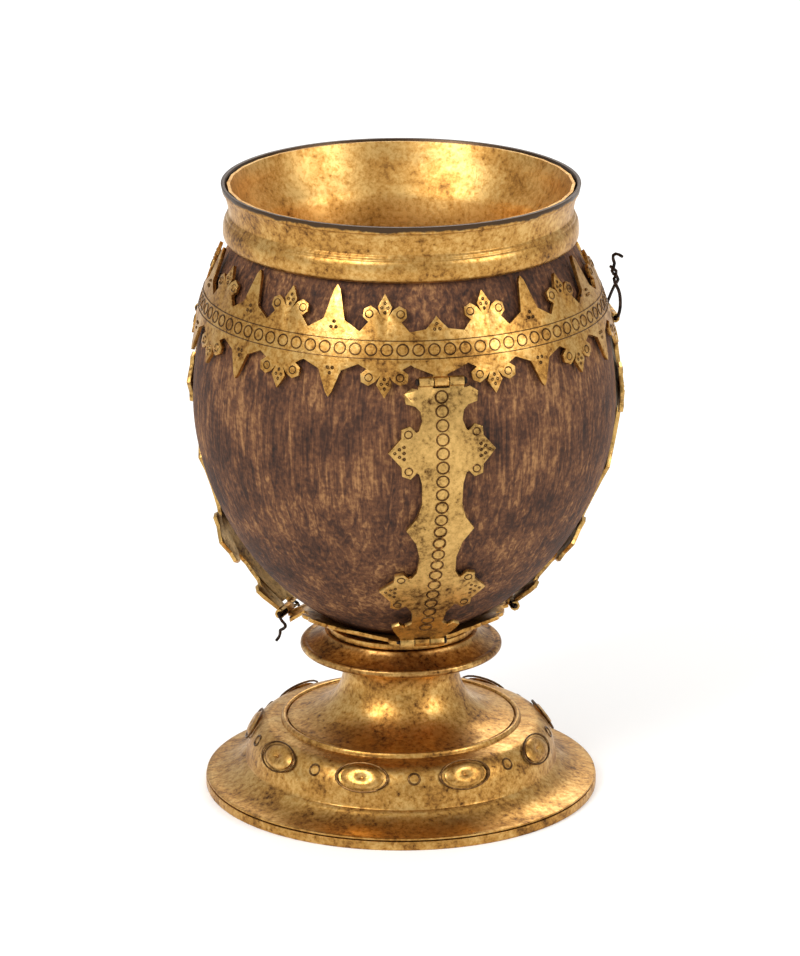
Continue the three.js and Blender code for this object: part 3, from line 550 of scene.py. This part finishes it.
def copy_node(node: str, bevel_mm: float) -> bpy.types.Object:
    """Copy a CAD node as a merged mesh with softened edges.

    Args:
        node: The node's name.
        bevel_mm: Width of the bevel, or 0 for none.

    Returns:
        The finished copy.
    """
    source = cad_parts[node]
    piece = bpy.data.objects.new(f"{node}_finished", source.data.copy())
    bpy.context.scene.collection.objects.link(piece)
    activate(piece)
    bpy.ops.object.mode_set(mode="EDIT")
    bpy.ops.mesh.select_all(action="SELECT")
    bpy.ops.mesh.remove_doubles(threshold=2e-6)
    bpy.ops.object.mode_set(mode="OBJECT")
    finish_piece(piece, bevel_mm)
    return piece


def dress(
    piece: bpy.types.Object, material: bpy.types.Material, body: str, slot: str, *nodes: str
) -> None:
    """Give a piece its material and body, and hide the CAD nodes that it stands for.

    Args:
        piece: The piece.
        material: Its finish.
        body: The body that it moves with.
        slot: Not used.
        nodes: CAD nodes that it stands for.
    """
    piece.data.materials.clear()
    piece.data.materials.append(material)
    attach(piece, body)
    if nodes:
        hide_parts(*nodes)
    log.info("%s rides on %s", piece.name, body)


def ring_row(
    name: str,
    places: list[Place],
    radius_mm: float,
    wire_mm: float,
    squash: float = 1.0,
    rise: float = 1.0,
    sides: int = 20,
) -> bpy.types.Object:
    """Model one punched ring and copy it along a row.

    Args:
        name: The piece's name.
        places: Centre in millimetres and normal of each ring.
        radius_mm: Radius of the ring.
        wire_mm: Radius of its raised edge.
        squash: Height of the ring as a share of its width.
        rise: How far it stands out, as a share of a round section.
        sides: Steps round each ring.

    Returns:
        The joined row.
    """
    deselect()
    bpy.ops.mesh.primitive_torus_add(
        major_segments=sides, minor_segments=max(4, sides // 3),
        major_radius=radius_mm * MM, minor_radius=wire_mm * MM)
    first = bpy.context.object
    copies = []
    for centre, out in places:
        ring = bpy.data.objects.new(name, first.data.copy())
        bpy.context.scene.collection.objects.link(ring)
        side = Vector((0, 0, 1)).cross(out).normalized()
        up = out.cross(side)
        turn = Matrix((side, up * squash, out * rise)).transposed().to_4x4()
        ring.data.transform(Matrix.Translation(centre * MM) @ turn)
        copies.append(ring)
    bpy.data.objects.remove(first)
    activate(copies[0])
    for ring in copies:
        ring.select_set(True)
    bpy.ops.object.join()
    copies[0].name = name
    bpy.ops.object.shade_smooth_by_angle(angle=math.radians(60))
    return copies[0]


@dataclass
class Foot:
    """Base ring, domed foot, spool, disc and neck of the stem, in millimetres."""

    gilt: bpy.types.Material
    dark_gilt: bpy.types.Material
    groove_shade_and_dirt: bpy.types.Material
    base: float = 53.6
    ring_width: float = 3.0
    ring_height: float = 2.5
    edge_round: float = 0.5
    dome: float = 42.5
    foot_z: float = 2.8
    top_z: float = 18.2
    wall: float = 1.2
    bead_height: float = 1.6
    seat: float = 0.3
    spool_rim: float = 31.0
    spool_lap: float = 2.6
    spool_height: float = 18.5
    rim_height: float = 0.9
    waist: float = 15.9
    waist_share: float = 0.72
    spool_top: float = 17.4
    disc: float = 27.5
    disc_height: float = 7.2
    disc_edge: float = 2.9
    disc_round: float = 1.1
    disc_recess: float = 3.3
    bolt: float = 3.0
    neck: float = 20.0
    neck_height: float = 1.5
    ovals: int = 9
    first_oval: float = 25.0
    dome_tilt: float = 57.0

    def build(self) -> None:
        """Build and dress the pieces of the foot and the stem."""
        self.build_base_ring()
        self.build_dome()
        self.build_ovals()
        self.build_spool()
        self.build_disc()

    def finish(
        self, name: str, outline: Outline, material: bpy.types.Material, node: str,
        turns: Round = Round.LARGE, bevel_mm: float = 0.12
    ) -> None:
        """Turn and dress one piece of the foot.

        Args:
            name: The piece's name.
            outline: Radius and height of its outline.
            material: Its finish.
            node: The CAD node that it stands for.
            turns: Steps about the axis.
            bevel_mm: Width of the softened edges.
        """
        piece = turn_piece(name, outline, turns, bevel_mm)
        dress(piece, material, "root", "gilt_copper", node)

    def build_base_ring(self) -> None:
        """Turn the flat ring that the cup stands on."""
        edge, top, curve = self.base, self.ring_height, self.edge_round
        inner = edge - self.ring_width
        outline = profile(
            (inner, 0), (edge - curve, 0), (edge, 0, edge, curve), (edge, top), (inner, top))
        self.finish("base_ring", outline, self.gilt, "foot_base_ring", bevel_mm=0.15)

    def build_dome(self) -> None:
        """Turn the domed foot, an even wall with a step at its root and a bead round its top."""
        edge, dome, low, top = self.base, self.dome, self.foot_z, self.top_z
        bead = self.spool_rim + self.seat
        bead_top = top + self.bead_height
        opening = self.spool_rim - self.spool_lap
        outline = profile(
            (edge - 1.4, low),
            (edge - 0.2, low),
            (edge - 0.2, low + 0.5),
            (dome + 5.2, low + 0.9, dome + 1.5, low + 3.8),
            (dome + 1.2, low + 4.2),
            (dome + 0.2, low + 4.6),
            (dome, low + 5.4),
            (dome - 0.7, top - 0.6, bead + 4.8, top + 0.1),
            (bead + 1.6, top + 0.3),
            (bead + 1.5, bead_top, bead + 0.8, bead_top),
            (bead + 0.1, bead_top, bead, top + 0.6),
            (bead, top),
            (opening, top),
            (opening, top - self.wall),
            (bead + 4.2, top - self.wall),
            (dome - 2.1, top - 1.7, dome - 1.2, low + 5.4),
            (dome - 1.2, low + 3.9),
            (dome + 1.2, low + 2.1),
            (dome + 4.6, low + 0.3, edge - 1.4, low))
        self.finish("domed_foot", outline, self.gilt, "foot")

    def build_ovals(self) -> None:
        """Set raised ovals round the dome, with small rings between them."""
        tilt = math.radians(self.dome_tilt)
        radius, height = self.dome - 2.0, self.top_z - 2.8
        between = self.first_oval + 180 / self.ovals
        # The oval outlines and small rings take the dark incised finish: painted groove shade and
        # the dirt of the real engraving.
        rows = (
            ("dome_ovals", self.first_oval, 7.2, 0.4, 0.56, 0.8, self.groove_shade_and_dirt),
            ("dome_oval_bosses", self.first_oval, 3.0, 2.9, 0.56, 0.32, self.gilt),
            ("dome_small_rings", between, 1.5, 0.3, 1.0, 0.8, self.groove_shade_and_dirt))
        for name, start, size, wire, squash, rise, material in rows:
            places = []
            for i in range(self.ovals):
                a = math.radians(start + i * 360 / self.ovals)
                across = math.sin(tilt)
                out = Vector((math.sin(a) * across, -math.cos(a) * across, math.cos(tilt)))
                centre = Vector((radius * math.sin(a), -radius * math.cos(a), height))
                places.append((centre, out))
            row = ring_row(name, places, size, wire, squash, rise)
            dress(row, material, "root", "gilt_copper")

    def build_spool(self) -> None:
        """Turn the trumpet-shaped spool, hollow inside."""
        low = self.top_z + self.seat
        top = low + self.spool_height
        rim, waist = low + self.rim_height, self.waist
        waist_z = low + self.spool_height * self.waist_share
        opening = self.spool_rim - self.spool_lap
        inner = waist - self.wall
        outline = profile(
            (opening, low),
            (self.spool_rim, low),
            (self.spool_rim, rim),
            (waist + 1.6, rim + 1.6, waist, waist_z),
            (waist, top - 1.6, self.spool_top, top),
            (15.0, top),
            (inner, top - 2.2, inner, waist_z),
            (waist + 0.4, rim + 0.6, opening, low),
            steps=16)
        self.finish("turned_spool", outline, self.gilt, "stem_spool")

    def build_disc(self) -> None:
        """Turn the disc on the spool and the neck band on the disc."""
        low = self.top_z + self.spool_height + 2 * self.seat
        top = low + self.disc_height
        edge, curve = low + self.disc_edge, self.disc_round
        shoulder, recess = self.disc - curve, top - self.disc_recess
        outline = profile(
            (self.bolt, low),
            (17.8, low),
            (18.4, low + 1.0, shoulder - 0.6, edge - curve),
            (self.disc, edge - curve, self.disc, edge),
            (self.disc, edge + curve, shoulder, edge + curve),
            (shoulder - 0.8, edge + 0.8),
            (21.4, top - 1.7, 20.8, top),
            (16.4, top),
            (15.8, recess),
            (self.bolt, recess))
        self.finish("turned_disc", outline, self.dark_gilt, "stem_disc", bevel_mm=0.1)
        inner, outer = self.spool_top, self.neck
        low = top + self.seat
        top = low + self.neck_height
        outline = profile((inner, low), (outer, low), (outer, top), (inner, top))
        self.finish("neck_band", outline, self.gilt, "neck_ring", Round.SMALL, 0.15)


@dataclass
class Bowl:
    """Coconut shell, lip collar and lining, in millimetres."""

    nut: Nut
    coconut: bpy.types.Material
    lip_gilt: bpy.types.Material
    lining: bpy.types.Material
    collar_z: float = 154.5817
    collar_height: float = 15.4
    collar_grip: float = 0.4
    bead: float = 2.1
    wall: float = 0.9
    throat_height: float = 7.4
    lip: float = 48.0
    lip_edge: float = 2.0
    lower_steps: int = 56
    upper_steps: int = 36
    rim_margin: float = 0.02

    def build(self) -> None:
        """Build and dress the bowl's pieces."""
        self.build_shell()
        self.build_collar()
        dress(copy_node("mouth_sleeve", 0.0), self.lining, "root", "gilt_copper", "mouth_sleeve")

    def build_collar(self) -> None:
        """Turn the collar: a bead below, a narrow throat and a lip that flares out."""
        low, top = self.collar_z, self.collar_z + self.collar_height
        grip = self.nut.radius_at(low) + self.collar_grip
        bead, throat, lip = grip + self.bead, grip + 0.5, self.lip
        throat_z, edge_z = low + self.throat_height, top - self.lip_edge
        step = throat_z - 1.0
        inner_bead, inner_throat = bead - self.wall, throat - self.wall
        outline = profile(
            (grip, low),
            (grip + self.wall, low),
            (bead + 0.1, low + 0.4, bead, low + 2.9),
            (bead - 0.1, step - 0.8, throat + 0.7, step - 0.3),
            (throat + 0.6, step + 0.4),
            (throat, throat_z),
            (throat + 0.2, throat_z + 3.2, lip - 0.7, edge_z - 0.1),
            (lip - 0.4, edge_z),
            (lip, top),
            (lip - 1.0, top),
            (lip - 1.6, edge_z),
            (throat - 0.7, throat_z + 3.2, inner_throat, throat_z),
            (inner_throat, step),
            (bead - 1.0, step - 1.4),
            (inner_bead, low + 2.6),
            (inner_bead, low + 1.1, grip, low + 0.9),
            (grip, low))
        collar = turn_piece("raised_lip", outline, Round.LARGE, 0.12)
        dress(collar, self.lip_gilt, "root", "gilt_copper", "lip_collar")

    def build_shell(self) -> None:
        """Spin the shell's outline and grow it to the natural form."""
        shell = turn_piece("scraped_shell", self.shell_outline(), Round.LARGE, 0.0)
        for vertex in shell.data.vertices:
            vertex.co = self.nut.grow(*(vertex.co / MM)) * MM
        dress(shell, self.coconut, "root", "coconut", "coconut_shell")

    def shell_outline(self) -> Outline:
        """List the points of the shell's wall, up the outside and down the inside.

        Returns:
            Radius and height of each point, in millimetres.
        """
        nut = self.nut
        equator, top = nut.bottom + nut.lower, nut.bottom + nut.height
        outside, inside = [], []
        for i in range(self.lower_steps + 1):
            turn = math.pi / 2 * (1 - i / self.lower_steps)
            z = nut.bottom + nut.lower * (1 - math.sin(turn) ** (2 / nut.lower_power))
            outside.append((nut.radius_at(z), z))
        last = math.asin((top - equator) / nut.upper)
        for i in range(1, self.upper_steps + 1):
            z = equator + nut.upper * math.sin(last * i / self.upper_steps)
            outside.append((nut.radius_at(z), z))
        least = nut.bore + 0.2
        outside = [(radius, z) for radius, z in outside if radius > least]
        for radius, z in outside:
            slope = nut.slope(min(z, top - self.rim_margin))
            tilt = math.hypot(1.0, slope)
            inside.append((radius - nut.wall / tilt, z + nut.wall * slope / tilt))
        inside = [(radius, min(z, top)) for radius, z in inside if radius > least]
        inside[-1] = (inside[-1][0], top)
        bore_low, bore_high = (nut.bore, outside[0][1]), (nut.bore, inside[0][1])
        return [bore_low, *outside, *reversed(inside), bore_high]


@dataclass
class Strapwork:
    """The pierced band, the calyx plate and the three straps, with their punched ornament."""

    nut: Nut
    gilt: bpy.types.Material
    strap_gilt: bpy.types.Material
    groove_shade_and_dirt: bpy.types.Material
    bevel: float = 0.14
    band_rise: float = 94.4
    band_outside: float = 1.8
    band_face: float = 1.72
    band_flare: float = 0.5
    band_line_face: float = 1.82
    band_line_height: float = 2.3
    band_line_wire: float = 0.16
    band_rings: int = 82
    ring_radius: float = 1.5
    ring_wire: float = 0.24
    periods: int = 12
    first_lily: float = -5.0
    first_spike: float = 10.0
    spike_top: float = 16.1
    lily_top: float = 14.3
    lily_bottom: float = 12.3
    scroll_reach: float = 4.1
    hinge_drop: float = 8.1
    strap_gap: float = 1.0
    strap_thickness: float = 1.1
    strap_sunk: float = 0.05
    strap_length: float = 85.6
    strap_bow_end: float = 1.15
    strap_scroll_reach: float = 9.0
    strap_lobes: tuple[float, float] = (18.3, 62.6)
    strap_scroll_spacing: float = 4.9
    strap_ring_radius: float = 1.6
    strap_ring_step: float = 3.7
    strap_first_ring: float = 4.0
    strap_rings: int = 21
    cross_radius: float = 80.0
    eye: tuple[float, float] = (1.0, 0.22)
    dot: tuple[float, float] = (0.3, 0.2)
    straps: dict[str, tuple[float, float, float]] = field(default_factory=lambda: {
        "front": (10.0, 2.2, 0.62), "right": (100.0, 2.2, 0.62), "left": (-110.0, 7.2, 0.2)})

    def build(self) -> None:
        """Build and dress the sheet metal and its ornament."""
        for node in ("strapwork_band", "calyx_plate"):
            dress(copy_node(node, self.bevel), self.gilt, "root", "gilt_sheet", node)
        self.build_band_ornament()
        for name in self.straps:
            self.build_strap_ornament(name)
        for name in self.straps:
            self.build_strap(name)

    def punch(
        self, name: str, places: list[Place], size: tuple[float, float], body: str, sides: int = 20
    ) -> None:
        """Punch a row of rings into a sheet.

        Args:
            name: The row's name.
            places: Centre in millimetres and normal of each ring.
            size: Radius of the ring and of its raised edge.
            body: The body that the sheet belongs to.
            sides: Steps round each ring.
        """
        row = ring_row(name, places, *size, sides=sides)
        # The rings take the dark incised finish: painted groove shade and the dirt of the real
        # engraving.
        dress(row, self.groove_shade_and_dirt, body, "gilt_sheet")

    def build_band_ornament(self) -> None:
        """Punch the band's row of rings, scroll eyes and stippled tips, and draw its two lines."""
        middle = self.nut.bottom + self.band_rise
        rings = [self.nut.point(360 * i / self.band_rings, middle, self.band_face)
                 for i in range(self.band_rings)]
        self.punch("band_punched_rings", rings, (self.ring_radius, self.ring_wire), "root")
        self.build_line("band_upper_line", self.nut.walk(middle, self.band_line_height))
        self.build_line("band_lower_line", self.nut.walk(middle, -self.band_line_height))
        eyes, dots = [], []
        for i in range(self.periods):
            turn = i * 360 / self.periods
            lily, spike = self.first_lily + turn, self.first_spike + turn
            for tip, way in ((self.lily_top, 1), (-self.lily_bottom, -1)):
                for side in (-1, 1):
                    eyes.append(self.band_place(lily, side * self.scroll_reach, tip - way * 5.2))
                for across, below in ((0, 2.4), (-0.8, 3.6), (0.8, 3.6), (0, 4.8)):
                    dots.append(self.band_place(lily, across, tip - way * below))
                if way < 0 and self.is_hinged(spike):
                    continue
                for across, height in ((0, 6.6), (-0.7, 5.2), (0.7, 5.2)):
                    dots.append(self.band_place(spike, across, way * height))
        self.punch("band_scroll_eyes", eyes, self.eye, "root", 12)
        self.punch("band_stipple", dots, self.dot, "root", 8)

    def build_strap(self, name: str) -> None:
        """Build and dress one strap with the row of rings down its middle.

        Args:
            name: The strap's name.
        """
        node, body = f"{name}_strap", f"{name}_strap_body"
        dress(copy_node(node, self.bevel), self.strap_gilt, body, "gilt_sheet", node)
        places = [self.strap_place(name, self.strap_first_ring + self.strap_ring_step * i, 0.0)
                  for i in range(self.strap_rings)]
        size = (self.strap_ring_radius, self.ring_wire)
        self.punch(f"{name}_strap_rings", places, size, body)

    def build_strap_ornament(self, name: str) -> None:
        """Punch the scroll eyes and the stippled lobes of one strap.

        Args:
            name: The strap's name.
        """
        body = f"{name}_strap_body"
        eyes, dots = [], []
        for lobe in self.strap_lobes:
            for down in (lobe - self.strap_scroll_spacing, lobe + self.strap_scroll_spacing):
                for side in (-1, 1):
                    reach = side * self.strap_scroll_reach
                    eyes.append(self.strap_place(name, down, reach))
            for side in (-1, 1):
                for across, below in ((12.6, 0), (11.4, -1), (11.4, 1),
                                      (10.2, -1.6), (10.2, 0), (10.2, 1.6)):
                    dots.append(self.strap_place(name, lobe + below, side * across))
        self.punch(f"{name}_strap_eyes", eyes, self.eye, body, 12)
        self.punch(f"{name}_strap_stipple", dots, self.dot, body, 8)

    def strap_off(self, name: str, down: float) -> float:
        """Find how far a strap's outer face stands off the nut.

        Args:
            name: The strap's name.
            down: Distance down the strap from its upper hinge, in millimetres.

        Returns:
            The standoff in millimetres.
        """
        _, extra, start = self.straps[name]
        end = self.strap_bow_end
        share = min(max(down / self.strap_length, 0.0), 1.0)
        t = min(max((share - start) / (end - start), 0.0), 1.0)
        return self.strap_gap + self.strap_thickness + extra * t * t * (3 - 2 * t) * end

    def strap_place(self, name: str, down: float, across: float) -> Place:
        """Find a point on a strap's outer face and the way out of it.

        Args:
            name: The strap's name.
            down: Distance down the strap from its upper hinge, in millimetres.
            across: Distance across the strap from its middle, in millimetres.

        Returns:
            The point in millimetres and the unit normal.
        """
        azimuth = self.straps[name][0]
        a, turn = math.radians(azimuth), across / self.cross_radius
        top = self.nut.walk(self.nut.bottom + self.band_rise, -self.hinge_drop)
        lift = self.cross_radius * (math.cos(turn) - 1)
        off = self.strap_off(name, down) - self.strap_sunk + lift
        place, out = self.nut.point(azimuth, self.nut.walk(top, -down), off)
        along = Vector((math.cos(a), math.sin(a), 0))
        place += along * self.cross_radius * math.sin(turn)
        return place, (out + along * turn).normalized()

    def band_place(self, azimuth: float, across: float, height: float) -> Place:
        """Find a point on the band's outer face and the way out of it.

        Args:
            azimuth: Degrees from the front towards the right.
            across: Distance along the band from that azimuth, in millimetres.
            height: Distance above the band's middle, in millimetres.

        Returns:
            The point in millimetres and the unit normal.
        """
        z = self.nut.walk(self.nut.bottom + self.band_rise, height)
        turned = azimuth + math.degrees(across / (self.nut.radius_at(z) + self.band_outside))
        off = self.band_face + self.band_flare * (height / self.spike_top) ** 2
        return self.nut.point(turned, z, off)

    def is_hinged(self, azimuth: float) -> bool:
        """Tell whether a strap hangs below a spike.

        Args:
            azimuth: The spike's azimuth in degrees.

        Returns:
            True where a strap hangs there.
        """
        turns = (azimuth - strap[0] for strap in self.straps.values())
        return any(abs((turn + 180) % 360 - 180) < 1 for turn in turns)

    def build_line(self, name: str, z: float) -> None:
        """Lay a raised thread round the band.

        Args:
            name: The line's name.
            z: Its height in millimetres.
        """
        loop = 0.05
        deselect()
        bpy.ops.mesh.primitive_torus_add(
            major_segments=240, minor_segments=6,
            major_radius=loop, minor_radius=self.band_line_wire * MM)
        piece = bpy.context.object
        piece.name = name
        for vertex in piece.data.vertices:
            x, y, height = vertex.co
            azimuth = math.degrees(math.atan2(x, -y))
            off = (math.hypot(x, y) - loop) / MM
            place, _ = self.nut.point(azimuth, z, self.band_line_face + off)
            vertex.co = (place + Vector((0, 0, height / MM))) * MM
        # The thread takes the dark incised finish: painted groove shade and the dirt of the real
        # engraving.
        dress(piece, self.groove_shade_and_dirt, "root", "gilt_sheet")


def dress_small_parts(iron: bpy.types.Material) -> None:
    """Give the iron pieces, which keep their CAD shape, their finish.

    Args:
        iron: The finish.
    """
    names = ["stem_bolt", "bowl_washer", "foot_plate", "foot_nut"]
    for side in ("front", "right", "left"):
        names += [f"{side}_upper_pin", f"{side}_lower_pin"]
    for name in names:
        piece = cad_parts[name]
        piece.data.materials.clear()
        piece.data.materials.append(iron)
        log.info("%s is dressed", name)


@dataclass
class Studio:
    """Camera, lamps, floor and white background, in metres."""

    camera_at: tuple[float, float, float] = (0.0, -1.4138, 0.5341)
    aim: tuple[float, float, float] = (0.0, 0.0, 0.08717)
    lens: float = 206.27
    shift: float = -1 / 956
    floor_size: float = 8.0
    floor_colour: str = "F4F3F1"
    floor_glow: float = 0.14
    sky: tuple[float, float] = (0.62, 1.0)
    lamps: tuple[tuple[float, ...], ...] = (
        (-0.9, -1.1, 1.2, 0.8, 19.0), (1.2, -0.7, 0.8, 0.7, 8.0), (0.2, 1.2, 1.2, 0.9, 9.0))

    def build(self) -> None:
        """Set up the studio."""
        scene = bpy.context.scene
        scene.view_settings.view_transform = "Standard"
        self.build_camera(scene)
        for x, y, z, size, watts in self.lamps:
            bpy.ops.object.light_add(type="AREA", location=(x, y, z))
            lamp = bpy.context.object
            lamp.data.size = size
            lamp.data.energy = watts
            self.turn_to_cup(lamp)
        self.build_world(scene)
        self.build_floor()

    def turn_to_cup(self, piece: bpy.types.Object) -> None:
        """Turn a camera or a lamp towards the cup.

        Args:
            piece: The camera or lamp.
        """
        way = Vector(self.aim) - piece.location
        piece.rotation_euler = way.to_track_quat("-Z", "Y").to_euler()

    def build_camera(self, scene: bpy.types.Scene) -> None:
        """Place the camera where the photograph was taken from.

        Args:
            scene: The scene that it belongs to.
        """
        bpy.ops.object.camera_add(location=self.camera_at)
        camera = bpy.context.object
        camera.data.lens = self.lens
        camera.data.shift_x = self.shift
        self.turn_to_cup(camera)
        scene.camera = camera

    def build_floor(self) -> None:
        """Lay a pale floor that the camera sees a little lighter than the lamps make it."""
        deselect()
        bpy.ops.mesh.primitive_plane_add(size=self.floor_size)
        floor = bpy.context.object
        floor.name = "floor"
        material, tree, shader, _ = start_material("pale_paper_floor")
        shader.inputs["Base Color"].default_value = linear(self.floor_colour)
        shader.inputs["Roughness"].default_value = 0.9
        shader.inputs["Emission Color"].default_value = (1.0, 1.0, 1.0, 1.0)
        seen = add_node(tree, "ShaderNodeLightPath").outputs["Is Camera Ray"]
        glow = combine(tree, "MULTIPLY", seen, self.floor_glow)
        tree.links.new(glow, shader.inputs["Emission Strength"])
        floor.data.materials.append(material)

    def build_world(self, scene: bpy.types.Scene) -> None:
        """Fill the room with a soft light that the camera sees as white.

        Args:
            scene: The scene that the light belongs to.
        """
        world = bpy.data.worlds.new("studio")
        scene.world = world
        world.use_nodes = True
        tree = world.node_tree
        tree.nodes.clear()
        seen = add_node(tree, "ShaderNodeLightPath").outputs["Is Camera Ray"]
        strength = remap(tree, seen, *self.sky)
        links = {"Color": (1.0, 1.0, 1.0, 1.0), "Strength": strength}
        light = add_node(tree, "ShaderNodeBackground", links)
        add_node(tree, "ShaderNodeOutputWorld", {"Surface": light.outputs["Background"]})


def main() -> None:
    """Build the cup and its studio in order."""
    logging.basicConfig(level=logging.INFO)
    nut = Nut()
    gilt = GiltFinish("gilt_copper_raised").make()
    dark_gilt = GiltFinish("gilt_copper_rubbed", gold="A87F48", tarnish_share=0.36).make()
    lip_gilt = GiltFinish("gilt_copper_lip", worn_above_mm=170.1).make()
    lining = GiltFinish("gilt_lining", tarnish_share=0.2, roughness=(0.34, 0.5)).make()
    strap_gilt = GiltFinish("gilt_sheet_olive", gold="BD9656", shade="86663A").make()
    # Dark brown for the incised ornament: painted shade of the grooves, together with the dark
    # dirt that the real engraving holds.
    groove_shade_and_dirt = GiltFinish("incised_lines_shade_and_dirt", bright="7A5A34", gold="5A4026", shade="463019").make()
    iron = IronFinish().make()
    Studio().build()
    Foot(gilt, dark_gilt, groove_shade_and_dirt).build()
    Bowl(nut, CoconutFinish().make(), lip_gilt, lining).build()
    Strapwork(nut, gilt, strap_gilt, groove_shade_and_dirt).build()
    dress_small_parts(iron)
    bpy.context.view_layer.update()


if __name__ == "__main__":
    main()
